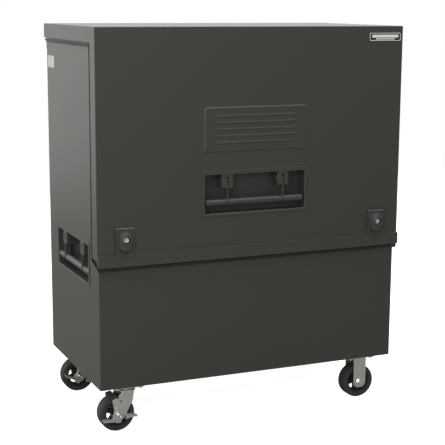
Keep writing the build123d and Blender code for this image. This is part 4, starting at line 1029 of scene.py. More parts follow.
@dataclass
class Bolts:
    """All castor plate bolts: heads under the plates, nuts and thread ends on the floor panel."""

    pitch_x: float = 92 * MM
    pitch_y: float = 72 * MM
    head_radius: float = 7.5 * MM
    head: float = 8 * MM
    plate: float = 4 * MM
    floor: float = 2 * MM
    nut: float = 6.5 * MM
    shank: float = 4 * MM
    washer_over: float = 1 * MM
    end_under: float = 2 * MM
    end_over: float = 1.2 * MM

    def build(self, centres: list[tuple[float, float]], seat: float) -> None:
        """Build every bolt about each plate centre.

        Args:
            centres: The plates' centres.
            seat: Height of the plates' upper faces.
        """
        bolts = Shape()
        r, washer = self.shank, self.head_radius + self.washer_over
        tip = rounded([(r, self.head - 3 * MM, 0), (r, self.head, 0.8 * MM), (0, self.head, 0)], 3)
        thread = rounded([(0, -6 * MM, 0), (r, -6 * MM, 0), (r, self.nut, 0.7 * MM), (0, self.nut, 0)], 3)
        thread_top = np.array([[r, self.nut - 1 * MM], [0, self.nut]])
        for x, y in centres:
            for sx, sy in ((-1, -1), (1, -1), (1, 1), (-1, 1)):
                spot = (x + sx * self.pitch_x / 2, y + sy * self.pitch_y / 2)
                under = Place.facing((*spot, seat - self.plate), Facing.DOWN)
                bolts.hexagon(self.head_radius, 0.0, self.head - self.end_under, under, washer)
                bolts.turned(tip, under, 28)
                over = Place.facing((*spot, seat + self.floor), Facing.UP)
                bolts.hexagon(self.head_radius, 0.0, self.nut - self.end_over, over, washer)
                bolts.turned(thread[:-1], over, 28)
                bolts.turned(thread_top, over, 28)
        bolts.piece("castor_bolts_plated", BRIGHT_ZINC, "chest", "zinc_plate", "castor_bolts")


@dataclass
class TopPlate:
    """A castor's top plate, drawn from the plate's upper face."""

    length: float = 115 * MM
    width: float = 100 * MM
    thick: float = 4 * MM
    corner: float = 8 * MM
    pitch_x: float = 92 * MM
    pitch_y: float = 72 * MM
    hole: float = 4.5 * MM
    edge: float = 0.7 * MM
    below_floor: float = 0.02 * MM

    def draw(self, shape: Shape, place: Place) -> None:
        """Add the plate with its four holes.

        Args:
            shape: The shape that the plate is added to.
            place: The middle of the plate's upper face.
        """
        holes = [
            circle(self.hole, 28, (sx * self.pitch_x / 2, sy * self.pitch_y / 2))
            for sx in (-1, 1) for sy in (-1, 1)]
        outline = rectangle(self.length, self.width, self.corner)
        shape.plate(outline, holes, -self.thick, -self.below_floor, self.edge, place)


@dataclass(frozen=True)
class AxleSizes:
    """What every castor's axle shares: washers, nuts and a plain shaft."""

    washer: float = 14.5 * MM
    washer_thick: float = 1.5 * MM
    nut: float = 11 * MM
    shaft: float = 6 * MM


AXLE = AxleSizes()


@dataclass
class SwivelCastor:
    """A braked swivel castor: fork, axle and brake, drawn under its plate's centre.

    The tables leg_circles and dome are in millimetres; plate_points and the wings give a radius in
    millimetres and a turn in degrees about the axle.
    """

    row: str
    plate_top: float
    centre: tuple[float, float]
    axle: tuple[float, float]
    leg_inner: float = 31 * MM
    leg: float = 4 * MM
    crown_top: float = 16.4 * MM
    crown: float = 5 * MM
    crown_from: float = -26 * MM
    crown_to: float = 21 * MM
    leg_circles: tuple = (
        (0.0, 0.0, 15.0), (8.0, 0.0, 20.0), (15.5, 67.0, 12.0), (27.0, 82.6, 6.0),
        (55.0, 82.6, 6.0), (49.5, 49.0, 6.0))
    hole: float = 3.5 * MM
    hole_rise: float = 48.5 * MM
    hole_shift: float = 11 * MM
    brake_gap: float = 0.4 * MM
    brake_plate: float = 3 * MM
    tyre: float = 66 * MM
    strap_gap: float = 2.5 * MM
    strap: float = 3 * MM
    strap_from: float = 95.0
    strap_to: float = 114.0
    pedal_turn: float = 0.0
    root: float = 40.0
    plate_points: tuple = (
        (65.5, 96.6, 3), (57.0, 88.0, 8), (47.9, 79.2, 6), (28.0, 68.0, 8), (23.0, 24.3, 4), (23.8, 5.5, 0.5),
        (25.8, -32.3, 0.5), (23.1, -60.1, 4), (32.2, -71.9, 1.5), (32.5, -109.8, 1.5), (23.9, -123.0, 2),
        (27.9, -135.7, 0.5), (23.3, -165.1, 0.5), (20.2, 156.6, 6), (27.0, 129.0, 12), (62.4, 112.5, 3))
    rear_wing: tuple = ((22.6, -150.0), (43.7, -166.7), (64.8, -171.1))
    rear_drops: tuple[float, float] = (9.5 * MM, 7.5 * MM)
    front_wing: tuple = ((22.6, 5.8), (46.0, 2.2), (67.5, -3.2))
    front_drops: tuple[float, float] = (16 * MM, 4.5 * MM)
    rivet: tuple[float, float] = (-5.5 * MM, 24.5 * MM)
    rivet_radius: float = 5 * MM
    rivet_rise: float = 2 * MM
    race_bore: float = 8.1 * MM
    bore: float = 7 * MM
    wing_reach: float = 17 * MM
    wing: float = 3 * MM
    strap_skirt: float = 7 * MM
    strap_overlap: float = 0.2 * MM
    dome: tuple = (
        (0, -0.5), (10.6, -0.5), (10.6, 1.6), (10.1, 2.3), (8.4, 2.8), (7.7, 2.3), (7.0, 2.3), (6.4, 3.4),
        (5.2, 4.6), (3.2, 5.3), (1.4, 5.4), (0, 5.2))

    def __post_init__(self) -> None:
        """Set the places: one under the plate, one at the axle looking forward."""
        self.top = Place.facing((*self.centre, self.plate_top), Facing.UP)
        self.hub = Place.facing((self.axle[0], self.centre[1], self.axle[1]), Facing.FRONT)
        self.seat = self.leg_inner + self.leg + self.brake_gap

    def polar(self, radius: float, degrees: float) -> tuple[float, float]:
        """A point about the axle."""
        turn = math.radians(degrees)
        return radius * math.cos(turn), radius * math.sin(turn)

    def fork(self) -> None:
        """A pressed crown with a dished race, and two legs with rounded edges."""
        fork = Shape()
        top, low = -self.crown_top, -self.crown_top - self.crown
        half = self.leg_inner + self.leg
        race = rounded([
            (self.race_bore, low, 0.3 * MM), (half - 4 * MM, low, 1 * MM),
            (half - 3 * MM, low - 1.5 * MM, 0.5 * MM), (half, low - 1.5 * MM, 0.7 * MM),
            (half, top - 2.2 * MM, 1.6 * MM), (half - 5 * MM, top, 1.0 * MM),
            (self.race_bore, top, 0.3 * MM)], 4)
        fork.turned(race, self.top, 88, True)
        length = self.crown_to - self.crown_from
        middle = ((self.crown_to + self.crown_from) / 2, 0)
        bridge = rectangle(length, 2 * half - 0.6 * MM, 3 * MM, middle)
        fork.plate(bridge, [], low, top - 0.4 * MM, 1.2 * MM, self.top)
        outline = belt([(x * MM, z * MM, r * MM) for x, z, r in self.leg_circles])
        hole = circle(self.hole, 24, (self.hole_shift, self.hole_rise))
        for side in (-1, 1):
            ends = sorted((side * self.leg_inner, side * half))
            fork.plate(outline, [hole], ends[0], ends[1], 1.0 * MM, self.hub)
        fork.piece(f"{self.row}_swivel_fork_pressed", ZINC, f"{self.row}_swivel", "zinc_plate",
                   f"{self.row}_swivel_fork")

    def axle_ends(self) -> None:
        """A domed rivet end with a ring groove towards the pedal, and a hexagon nut behind."""
        ends = Shape()
        start = self.seat + self.brake_plate + self.brake_gap
        end = start + AXLE.washer_thick
        washer = rounded([(0, start, 0), (AXLE.washer, start, 0.4 * MM), (AXLE.washer, end, 0.4 * MM),
                          (0, end, 0)], 3)
        ends.turned(washer, self.hub, 64)
        ends.turned(np.array(self.dome) * MM + [0, end], self.hub, 64)
        rear = self.hub.inner((0, 0, 0), (0, 0, -1), (0, 1, 0))
        ends.turned(washer, rear, 64)
        ends.hexagon(AXLE.nut, end - 0.3 * MM, end + 6.0 * MM, rear)
        ends.turned(rod(AXLE.shaft, -start, start), self.hub, 40)
        ends.piece(f"{self.row}_swivel_axle_turned", BRIGHT_ZINC, f"{self.row}_swivel", "zinc_plate",
                   f"{self.row}_swivel_axle")

    def brake(self) -> None:
        """Side plates, rivet and pedal wings in zinc, and the black strap over the tyre."""
        brake = Shape()
        inner = self.tyre + self.strap_gap
        outer = inner + self.strap
        corners = []
        for r, a, c in self.plate_points:
            turn = self.pedal_turn if r < self.root else 0.0
            corners.append((*self.polar(r * MM, a + turn), c * MM))
        outline = rounded(corners, 5)
        bore = circle(self.bore, 32)
        near, far = self.seat, self.seat + self.brake_plate
        brake.plate(outline, [bore], near, far, 0.8 * MM, self.hub)
        tip = [(*self.polar(outer - 3 * MM, a), 3 * MM) for a in (self.strap_from + 3, self.strap_to - 3)]
        back = belt([(0, 0, 13 * MM), *tip])
        brake.plate(back, [bore], -far, -near, 0.8 * MM, self.hub)
        self.wings(brake, far)
        turn = np.linspace(0, math.pi / 2, 7)
        head = np.c_[self.rivet_radius * np.cos(turn), self.rivet_rise * np.sin(turn)]
        foot = [[0, -0.5 * MM], [self.rivet_radius, -0.5 * MM]]
        brake.turned(np.concatenate([foot, head]),
                     self.hub.inner((*self.rivet, far), (0, 0, 1), (0, 1, 0)), 36)
        brake.piece(f"{self.row}_brake_pressed", ZINC, f"{self.row}_brake", "zinc_plate", f"{self.row}_brake")
        strap = Shape()
        turn = np.radians(np.linspace(self.strap_from + 0.4, self.strap_to - 0.4, 15))
        arc = np.stack([np.cos(turn), np.sin(turn)], 1)
        sheet = np.concatenate([arc * outer, arc[::-1] * inner])
        side = near + self.strap_overlap
        strap.plate(sheet, [], -side, side, 0.5 * MM, self.hub)
        skirt = np.concatenate([arc * outer, arc[::-1] * (inner - self.strap_skirt)])
        strap.plate(skirt, [], side, far - 0.3 * MM, 0.8 * MM, self.hub)
        strap.piece(f"{self.row}_brake_strap", STRAP_BLACK, f"{self.row}_brake", "black_plastic")

    def wings(self, brake: Shape, seat: float) -> None:
        """Two foot pads, each a curved tread with a turned-down edge.

        The tread follows a quadratic curve through three points, and the edge's depth changes evenly
        along it.

        Args:
            brake: The shape that the pads are added to.
            seat: Height of the brake plate's outer face.
        """
        for points, drops in ((self.rear_wing, self.rear_drops), (self.front_wing, self.front_drops)):
            spots = np.array([self.polar(r * MM, a + self.pedal_turn) for r, a in points])
            t = np.linspace(0, 1, 9)[:, None]
            bend = spots[1] * 2 - (spots[0] + spots[2]) / 2
            line = (1 - t) ** 2 * spots[0] + 2 * t * (1 - t) * bend + t**2 * spots[2]
            drop = drops[0] + (drops[1] - drops[0]) * t
            tread = np.concatenate([line, (line - [0, self.wing])[::-1]])
            skirt = np.concatenate([line, (line - drop * [0, 1])[::-1]])
            end = seat + self.wing_reach
            brake.plate(tread, [], seat - self.brake_plate, end, 0.8 * MM, self.hub)
            brake.plate(skirt, [], end - self.wing, end, 0.8 * MM, self.hub)

    def build(self) -> None:
        """Build the fork, the axle's ends and the brake."""
        self.fork()
        self.axle_ends()
        self.brake()


@dataclass
class CastorMounts:
    """What is bolted to the floor panel: swivel plates with their races, and the fixed frames."""

    race: float = 34 * MM
    race_depth: float = 12 * MM
    kingpin: float = 8 * MM
    kingpin_from: float = 15 * MM
    kingpin_to: float = 23 * MM
    kingpin_head: float = 13 * MM
    leg_inner: float = 31 * MM
    leg: float = 4 * MM
    leg_width: float = 54 * MM
    leg_end: float = 24 * MM
    leg_round: float = 22 * MM
    weld: float = 2.2 * MM
    weld_below: float = 4.4 * MM

    def swivel_plates(self, centres: list[tuple[float, float]], top: float) -> None:
        """Top plates with a stepped upper race and a kingpin nut.

        Args:
            centres: The plates' centres.
            top: Height of the plates' upper faces.
        """
        plates = Shape()
        for centre in centres:
            place = Place.facing((*centre, top), Facing.UP)
            TopPlate().draw(plates, place)
            low = -4 * MM - self.race_depth
            race = rounded([
                (0, -3 * MM, 0), (self.race, -3 * MM, 0), (self.race, -7.5 * MM, 1.0 * MM),
                (self.race - 3 * MM, -9.5 * MM, 1.0 * MM), (self.race - 3 * MM, -12 * MM, 0.6 * MM),
                (self.race - 1 * MM, low + 1 * MM, 0.8 * MM), (self.race - 4 * MM, low, 0.6 * MM),
                (0, low, 0)], 4)
            plates.turned(race, place, 80)
            under = Place.facing((*centre, top), Facing.DOWN)
            plates.turned(rod(self.kingpin, self.kingpin_from, self.kingpin_to), under, 40)
            nut = self.kingpin_to - 1.2 * MM
            plates.hexagon(self.kingpin_head, nut, nut + 6 * MM, under)
        plates.piece("swivel_plates_pressed", ZINC, "chest", "zinc_plate", "swivel_plates")

    def fixed_frames(self, centres: list[tuple[float, float]], top: float, axle: float) -> None:
        """Top plates with two straight legs, a weld along each leg's root, and the fixed axles.

        Args:
            centres: The plates' centres.
            top: Height of the plates' upper faces.
            axle: Height of the axles.
        """
        frames, axles = Shape(), Shape()
        half = self.leg_width / 2
        drop = top - axle
        root_level = drop - 2 * MM
        leg = rounded([(-half, -self.leg_end, self.leg_round), (half, -self.leg_end, self.leg_round),
                       (half, root_level, 0), (-half, root_level, 0)], 14)
        bead = circle(self.weld, 10)
        path = np.linspace([-half, 0.0], [half, 0.0], 9)
        start = self.leg_inner + self.leg
        low, high = start - 0.2 * MM, start + AXLE.washer_thick
        washer = rounded([(0, low, 0), (AXLE.washer, low, 0.4 * MM), (AXLE.washer, high, 0.5 * MM),
                          (0, high, 0)], 3)
        for centre in centres:
            TopPlate().draw(frames, Place.facing((*centre, top), Facing.UP))
            hub = Place.facing((*centre, axle), Facing.FRONT)
            for side in (-1, 1):
                root = side * self.leg_inner
                ends = sorted((root, side * start))
                frames.plate(leg, [], ends[0], ends[1], 1.0 * MM, hub)
                weld = Place.facing((centre[0], centre[1] - root, top - self.weld_below), Facing.UP)
                frames.swept(path, bead, weld, False)
            for way in ((0, 0, 1), (0, 0, -1)):
                end = hub.inner((0, 0, 0), way, (0, 1, 0))
                axles.turned(washer, end, 64)
                axles.hexagon(AXLE.nut, start + 1.3 * MM, start + 7.6 * MM, end)
            axles.turned(rod(AXLE.shaft, -start, start), hub, 40)
        frames.piece("fixed_frames_pressed", ZINC, "chest", "zinc_plate", "fixed_frames")
        axles.piece("fixed_axles_turned", BRIGHT_ZINC, "chest", "zinc_plate", "fixed_axles")


@dataclass
class Castors:
    """All four castors, placed from the CAD's plates and axles."""

    half_width: float = 50 * MM
    pedal_turns: dict[str, float] = field(default_factory=lambda: {"front": 0.0, "rear": -22.0})
    spoke_starts: dict[str, float] = field(default_factory=lambda: {
        "front_swivel": 18.0, "rear_swivel": 57.0, "front_fixed": 49.0, "rear_fixed": 50.0})

    def build(self) -> None:
        """Build the mounts, bolts, forks, brakes and wheels."""
        low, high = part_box("swivel_plates")
        top = high.z
        swivel_x = (low.x + high.x) / 2
        rows = {"front": low.y + self.half_width, "rear": high.y - self.half_width}
        low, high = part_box("fixed_frames")
        fixed_x = (low.x + high.x) / 2
        swivels = [(swivel_x, y) for y in rows.values()]
        fixed = [(fixed_x, y) for y in rows.values()]
        mounts = CastorMounts()
        mounts.swivel_plates(swivels, top)
        low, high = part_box("front_fixed_tyre")
        mounts.fixed_frames(fixed, top, (low.z + high.z) / 2)
        Bolts().build(swivels + fixed, top)
        for row, y in rows.items():
            low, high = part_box(f"{row}_swivel_tyre")
            axle = ((low.x + high.x) / 2, (low.z + high.z) / 2)
            SwivelCastor(row, top, (swivel_x, y), axle, pedal_turn=self.pedal_turns[row]).build()
            for kind in ("swivel", "fixed"):
                name = f"{row}_{kind}"
                Wheel(name, f"{name}_wheel", spoke_start=self.spoke_starts[name]).build()


# ------------------------------------------------------------------ locks
@dataclass
class Lock:
    """One lock: a moulded housing with a hood over the key plug, and the plug with its keyway.

    The wall, the bow over it and the inset where the top starts are in millimetres.
    """

    side: str
    width: float = 54 * MM
    length: float = 77 * MM
    proud: float = 20 * MM
    below: float = 8.5 * MM
    plug_radius: float = 10.5 * MM
    plug_proud: float = 4 * MM
    plug_sunk: float = 12 * MM
    key_turn: float = -38.0
    hood: float = 19.5 * MM
    hood_bore: float = 13.2 * MM
    well: float = 17 * MM
    well_edge: float = 15 * MM
    well_slope: float = 2.5 * MM
    cam_below: float = 10 * MM
    wall: tuple = ((0, 0), (0, 3.2), (0.4, 3.8), (1.0, 4.0), (1.5, 4.6), (2.2, 8.0), (3.4, 12.0))
    bow_in: float = 11.0
    bow_up: float = 8.0
    top_in: float = 15.2
    sleeve: float = 12.5 * MM
    sleeve_ends: tuple[float, float] = (-36 * MM, -19 * MM)
    key_slot: tuple[float, float, float] = (3.2 * MM, 12 * MM, 1.2 * MM)
    key_plate: float = 7.9 * MM
    stem_behind: float = 21 * MM
    nut: float = 8 * MM

    def __post_init__(self) -> None:
        """Find the housing's seat and the plug's centre."""
        low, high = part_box(f"{self.side}_lock_plug")
        self.face = low.y + self.plug_proud
        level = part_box(f"{self.side}_lock_cam")[0].z + self.cam_below
        self.centre = ((low.x + high.x) / 2, self.face, level)
        self.place = Place.facing(self.centre, Facing.FRONT)
        self.body_place = self.place.inner((0, -self.below, -self.proud), (0, 0, 1), (0, 1, 0))

    def sunk(self, ring: np.ndarray) -> np.ndarray:
        """Points inside the well lowered to its floor, by a smooth step at its edge.

        Args:
            ring: Points of the housing's surface.

        Returns:
            The points, where those outside the well are as they were.
        """
        away = np.hypot(ring[:, 0], ring[:, 1] - self.below)
        share = np.clip((self.well_edge + self.well_slope - away) / self.well_slope, 0, 1)
        share = share * share * (3 - 2 * share)
        floor = self.proud - self.well
        return np.c_[ring[:, :2], ring[:, 2] + share * np.minimum(floor - ring[:, 2], 0)]

    def housing(self) -> None:
        """A capsule dome whose inset grows with height, a well for the plug and a hood ring round it."""
        housing = Shape()
        radius = self.width / 2
        straight = self.length - self.width
        turn = np.linspace(0, 1, 10) * math.pi / 2
        wall = np.array(self.wall) * MM
        inward, upward = self.wall[-1]
        bow = np.c_[inward + self.bow_in * (1 - np.cos(turn)), upward + self.bow_up * np.sin(turn)] * MM
        top = np.c_[np.linspace(self.top_in, radius / MM, 12), np.full(12, upward + self.bow_up)] * MM
        profile = np.concatenate([[[radius, 0.0]], wall, bow[1:], top])
        rings = []
        for shrink, height in profile.tolist():
            ring = capsule(max(radius - shrink, 1e-7), straight, 34, 18)
            rings.append(self.sunk(np.c_[ring, np.full(len(ring), height)]))
        housing.grid(np.stack(rings), self.body_place)
        hood = rounded([
            (self.hood_bore, -self.well - 1 * MM, 0), (self.hood_bore + 2.5 * MM, -self.well - 1 * MM, 0),
            (self.hood_bore + 2.5 * MM, -6 * MM, 0), (self.hood + 1.5 * MM, -6 * MM, 0),
            (self.hood + 0.6 * MM, -1 * MM, 2 * MM), (self.hood - 1.2 * MM, 2.4 * MM, 1.6 * MM),
            (self.hood_bore + 0.6 * MM, 2.6 * MM, 0.8 * MM), (self.hood_bore, 1.6 * MM, 0.5 * MM)], 5)
        housing.turned(hood, self.place, 72, True)
        near, (low, high) = self.plug_radius + 0.1 * MM, self.sleeve_ends
        sleeve = rounded([(near, low, 0), (self.sleeve, low, 0.6 * MM), (self.sleeve, high, 0),
                          (near, high, 0)], 3)
        housing.turned(sleeve, self.place, 48, True)
        housing.piece(f"{self.side}_lock_housing_moulded", PLASTIC, "lid", "black_plastic",
                      f"{self.side}_lock_housing")

    def plug(self) -> None:
        """A plug with a turned-down rim, a slanted keyway cut through its face, and the cam's nut."""
        plug = Shape()
        r, p = self.plug_radius, self.plug_proud - self.plug_sunk
        slot = rectangle(*self.key_slot, steps=3)
        lean = math.radians(self.key_turn)
        slot = slot @ np.array([[math.cos(lean), math.sin(lean)], [-math.sin(lean), math.cos(lean)]])
        plug.plate(circle(self.key_plate, 56), [slot], p - 2.4 * MM, p, 0.35 * MM, self.place)
        floor = p - 5 * MM
        collar = rounded([(7.8 * MM, floor, 0), (r, floor, 0), (r, p - 1.2 * MM, 0.9 * MM),
                          (r - 1.4 * MM, p - 0.3 * MM, 0.7 * MM), (7.8 * MM, p - 0.9 * MM, 0.2 * MM)], 4)
        plug.turned(collar, self.place, 64, True)
        back = self.place.inner((0, 0, 0), (0, 0, -1), (0, 1, 0))
        start = self.proud + self.stem_behind
        deep = 1.5 * MM - floor
        stem = np.array([[0, deep], [r - 0.2 * MM, deep], [r - 0.2 * MM, start], [6 * MM, start],
                         [6 * MM, start + 5 * MM], [0, start + 5 * MM]])
        plug.turned(stem, back, 48)
        plug.hexagon(self.nut, start + 5 * MM, start + 9 * MM, back)
        plug.piece(f"{self.side}_lock_plug_turned", PLUG_METAL, f"{self.side}_lock", "bright_zinc",
                   f"{self.side}_lock_plug")

    def build(self) -> None:
        """Build the housing and the plug."""
        self.housing()
        self.plug()


# ------------------------------------------------------------------ handles
@dataclass
class Handle:
    """A bail handle: a round bar with capped ends on two flat arms, in one pocket."""

    name: str
    way: Facing
    flange_bottom: float = 10 * MM
    flange_side: float = 10.5 * MM
    flange_proud: float = 2.5 * MM
    height: float = 143.5 * MM
    bar: float = 13.5 * MM
    bar_end_gap: float = 7 * MM
    bar_above: float = 39 * MM
    bar_behind: float = 13 * MM
    spacing: float = 224 * MM
    arm: float = 6 * MM
    arm_width: float = 22 * MM
    arm_nose: float = 1.2 * MM
    pivot_behind: float = 13 * MM
    pivot_drop: float = 25 * MM
    pivot_hole: float = 4.05 * MM
    cap_length: float = 12 * MM
    weld: float = 1.5 * MM

    def __post_init__(self) -> None:
        """Find the pocket's centre on its wall."""
        low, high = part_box(f"{self.name}_pocket")
        z = low.z + self.flange_bottom + self.height / 2
        middle = (low + high) / 2
        if self.way is Facing.FRONT:
            origin = (middle.x, low.y + self.flange_proud, z)
            self.width = high.x - low.x - 2 * self.flange_side
        else:
            x = low.x + self.flange_proud if self.way is Facing.LEFT else high.x - self.flange_proud
            origin = (x, middle.y, z)
            self.width = high.y - low.y - 2 * self.flange_side
        self.place = Place.facing(origin, self.way)

    def build(self) -> None:
        """The bar is a profile turned about its length, and each arm is a belt round two circles."""
        handle = Shape()
        half = self.width / 2 - self.bar_end_gap
        level = self.bar_above - self.height / 2
        bar_place = self.place.inner((0, level, -self.bar_behind), (1, 0, 0), (0, 1, 0))
        r = self.bar
        inner = half - self.cap_length
        right = rounded([(0.0, inner, 0), (r, inner, 0), (r, half - 4.4 * MM, 0.3 * MM),
                         (r - 0.5 * MM, half - 4.0 * MM, 0.2 * MM), (r - 0.1 * MM, half - 3.6 * MM, 0.2 * MM),
                         (r - 0.1 * MM, half, 2.4 * MM), (0.0, half, 0.0)], 5)
        profile = np.concatenate([right[1:], (right * [1, -1])[1:][::-1]])
        handle.turned(profile, bar_place, 56, True)
        pivot = self.height / 2 - self.pivot_drop
        nose = self.arm_width / 2
        nose_in = self.bar_behind - self.bar + nose - self.arm_nose
        outline = belt([(self.pivot_behind, pivot, nose), (nose_in, level + nose / 2, nose)])
        hole = circle(self.pivot_hole, 28, (self.pivot_behind, pivot))
        ring = circle(self.weld, 10) + [self.bar + 0.1 * MM, 0]
        for side in (-1, 1):
            x = side * self.spacing / 2
            blade = self.place.inner((x, 0, 0), (1, 0, 0), (0, 1, 0))
            handle.plate(outline, [hole], -self.arm / 2, self.arm / 2, 0.9 * MM, blade)
            for way in (-1, 1):
                along = x + way * (self.arm / 2 + 0.6 * MM)
                bead = bar_place.inner((0, 0, along), (0, 0, 1), (0, 1, 0))
                handle.turned(ring, bead, 56, True)
        handle.piece(f"{self.name}_handle_bar", PAINT, f"{self.name}_handle", "charcoal_paint",
                     f"{self.name}_handle")


@dataclass
class PocketBead:
    """A rolled bead round the mouth of one handle's pocket, in a light paint that is a painted highlight."""

    handle: Handle
    corner: float = 5.5 * MM
    radius: float = 1.9 * MM

    def build(self, body: str) -> None:
        """Sweep a small circle along the mouth's rounded rectangle, a little outside its edge.

        Args:
            body: The body that the pocket is on.
        """
        bead = Shape()
        reach = self.radius * 0.6
        wide, tall = self.handle.width + 2 * reach, self.handle.height + 2 * reach
        mouth = rectangle(wide, tall, self.corner, steps=8)
        section = circle(self.radius, 14) + [0, self.handle.flange_proud - self.radius]
        bead.swept(anticlockwise(mouth), section, self.handle.place, True)
        # The bead's light paint is a painted highlight along the pocket's rim.
        bead.piece(f"{self.handle.name}_pocket_bead", HIGHLIGHT_PAINT, body, "charcoal_paint")


@dataclass
class PivotBolts:
    """Chamfered hexagon heads on the ends of the handles' pivot bolts."""

    hanger_half: float = 23 * MM
    shank: float = 4 * MM
    head_radius: float = 6.5 * MM
    head: float = 3.5 * MM

    def build(self, name: str, body: str, handles: list[Handle]) -> None:
        """Build the bolts of some handles as one piece.

        Args:
            name: The CAD node's name.
            body: The body that the bolts stay on.
            handles: The handles that they hold.
        """
        bolts = Shape()
        for handle in handles:
            y = handle.height / 2 - handle.pivot_drop
            for side in (-1, 1):
                x = side * handle.spacing / 2
                for way in (-1, 1):
                    end = handle.place.inner((x, y, -handle.pivot_behind), (way, 0, 0), (0, 1, 0))
                    bolts.turned(rod(self.shank, 0, self.hanger_half), end, 32)
                    bolts.hexagon(self.head_radius, self.hanger_half, self.hanger_half + self.head, end)
        bolts.piece(f"{name}_painted", PAINT, body, "charcoal_paint", name)


# ------------------------------------------------------------------ trim
@dataclass
class Badge:
    """A plain name plate: dark ground, a raised border and two plain bars, long over short."""

    thick: float = 2 * MM
    corner: float = 7 * MM
    border_in: float = 1.9 * MM
    border: float = 0.9 * MM
    ground_below: float = 0.8 * MM
    bars: tuple = ((0.84, 0.34, 0.08), (0.6, 0.13, -0.25))

    def build(self) -> None:
        """Build the ground, the border and the bars on the lid's front."""
        low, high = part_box("badge")
        middle = (low + high) / 2
        width, height = high.x - low.x, high.z - low.z
        place = Place.facing((middle.x, high.y, middle.z), Facing.FRONT)
        ground = Shape()
        outline = rectangle(width, height, self.corner, steps=10)
        ground.plate(outline, [], 0.0, self.thick - self.ground_below, 0.6 * MM, place)
        ground.piece("badge_ground", BADGE_GROUND, "lid", "badge_enamel", "badge")
        metal = Shape()
        edge = rectangle(width - 2 * self.border_in, height - 2 * self.border_in,
                         self.corner - self.border_in, steps=12)
        section = circle(self.border, 12) * [0.95, 0.9] + [0, self.thick - 0.85 * MM]
        metal.swept(anticlockwise(edge), section, place, True)
        for long, tall, rise in self.bars:
            bar = rectangle(width * long, height * tall, height * tall * 0.4, (0.0, height * rise))
            metal.plate(bar, [], self.thick - 1.2 * MM, self.thick - 0.15 * MM, 0.4 * MM, place)
        metal.piece("badge_border_and_bars", BADGE_METAL, "lid", "badge_enamel")


@dataclass
class TabEdge:
    """The rolled edge along the top of one lock tab, in a light paint that is a painted highlight."""

    side: int
    from_edge: float = 101 * MM
    length: float = 70 * MM
    radius: float = 1.7 * MM
    below_top: float = 1.9 * MM

    def build(self) -> None:
        """A thin rod with round ends, turned about its length and let into the tab's top edge."""
        low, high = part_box("lock_rail")
        x = self.side * (high.x - self.from_edge)
        origin = (x, low.y + self.radius, high.z - self.below_top)
        place = Place.facing(origin, Facing.FRONT).inner((0, 0, 0), (1, 0, 0), (0, 1, 0))
        turn = np.linspace(-0.5, 0.5, 13) * math.pi
        ends = np.sign(np.round(turn, 9)) * (self.length / 2 - self.radius)
        edge = Shape()
        edge.turned(np.c_[self.radius * np.cos(turn), ends + self.radius * np.sin(turn)], place, 20)
        name = "left" if self.side < 0 else "right"
        # The rod's light paint is a painted highlight along the tab's top edge.
        edge.piece(f"{name}_tab_edge", HIGHLIGHT_PAINT, "lid", "charcoal_paint")


@dataclass
class SideLabel:
    """A blank printed label on the left side, near the back and the top."""

    from_rear: float = 14 * MM
    width: float = 90 * MM
    below_top: float = 122 * MM
    height: float = 45 * MM
    thick: float = 0.35 * MM
    corner: float = 3 * MM
    border_in: float = 4 * MM

    def build(self) -> None:
        """Build the vinyl and its thin grey border."""
        panel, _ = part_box("side_panel_left")
        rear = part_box("back_panel")[1].y
        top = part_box("lid_top")[1].z
        centre = (panel.x, rear - self.from_rear - self.width / 2, top - self.below_top - self.height / 2)
        place = Place.facing(centre, Facing.LEFT)
        vinyl = Shape()
        outline = rectangle(self.width, self.height, self.corner)
        vinyl.plate(outline, [], -0.1 * MM, self.thick, 0.12 * MM, place)
        vinyl.piece("side_label", VINYL, "chest", "charcoal_paint")
        ink = Shape()
        wide, tall = self.width - 2 * self.border_in, self.height - 2 * self.border_in
        line = rectangle(wide, tall, self.corner / 2, steps=4)
        section = np.array([[-0.5, -0.1], [0.5, -0.1], [0.45, 0.05], [-0.45, 0.05]]) * MM + [0, self.thick]
        ink.swept(anticlockwise(line), section, place, True)
        ink.piece("side_label_border", LABEL_INK, "chest", "charcoal_paint")


@dataclass
class HingeRivets:
    """Domed rivets through both hinge leaves."""

    pitch: float = 75 * MM
    radius: float = 3.4 * MM
    height: float = 1.5 * MM
    from_edge: float = 11 * MM
    leaf: float = 1.5 * MM

    def build(self, node: str, body: str) -> None:
        """Build one leaf's row of rivets.

        Args:
            node: The leaf.
            body: The body that the leaf is on.
        """
        low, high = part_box(node)
        count = int((high.x - low.x) / self.pitch)
        span = (count - 1) * self.pitch
        leaf_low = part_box("hinge_leaf_body")[0].z
        leaf_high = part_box("hinge_leaf_lid")[1].z
        level = leaf_low + self.from_edge if node == "hinge_leaf_body" else leaf_high - self.from_edge
        turn = np.linspace(0, math.pi / 2, 7)
        head = np.c_[self.radius * np.cos(turn), self.height * np.sin(turn)]
        head = np.concatenate([[[0, -0.6 * MM], [self.radius, -0.6 * MM]], head])
        rivets = Shape()
        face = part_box("lid_top")[1].y + self.leaf
        for x in np.linspace(-span / 2, span / 2, count):
            rivets.turned(head, Place.facing((float(x), face, level), Facing.BACK), 24)
        rivets.piece(f"{node}_rivets", PAINT, body, "charcoal_paint")


# ------------------------------------------------------------------ studio
@dataclass(frozen=True)
class SoftLight:
    """A rectangular soft light that looks at a point."""

    name: str
    at: tuple[float, float, float]
    towards: tuple[float, float, float]
    size: tuple[float, float]
    watts: float

    def hang(self) -> None:
        """Put the light in its place."""
        data = bpy.data.lights.new(self.name, "AREA")
        data.shape, data.energy = "RECTANGLE", self.watts
        data.size, data.size_y = self.size
        thing = bpy.data.objects.new(self.name, data)
        bpy.context.scene.collection.objects.link(thing)
        turn = (Vector(self.towards) - Vector(self.at)).to_track_quat("-Z", "Y")
        thing.matrix_world = Matrix.Translation(self.at) @ turn.to_matrix().to_4x4()


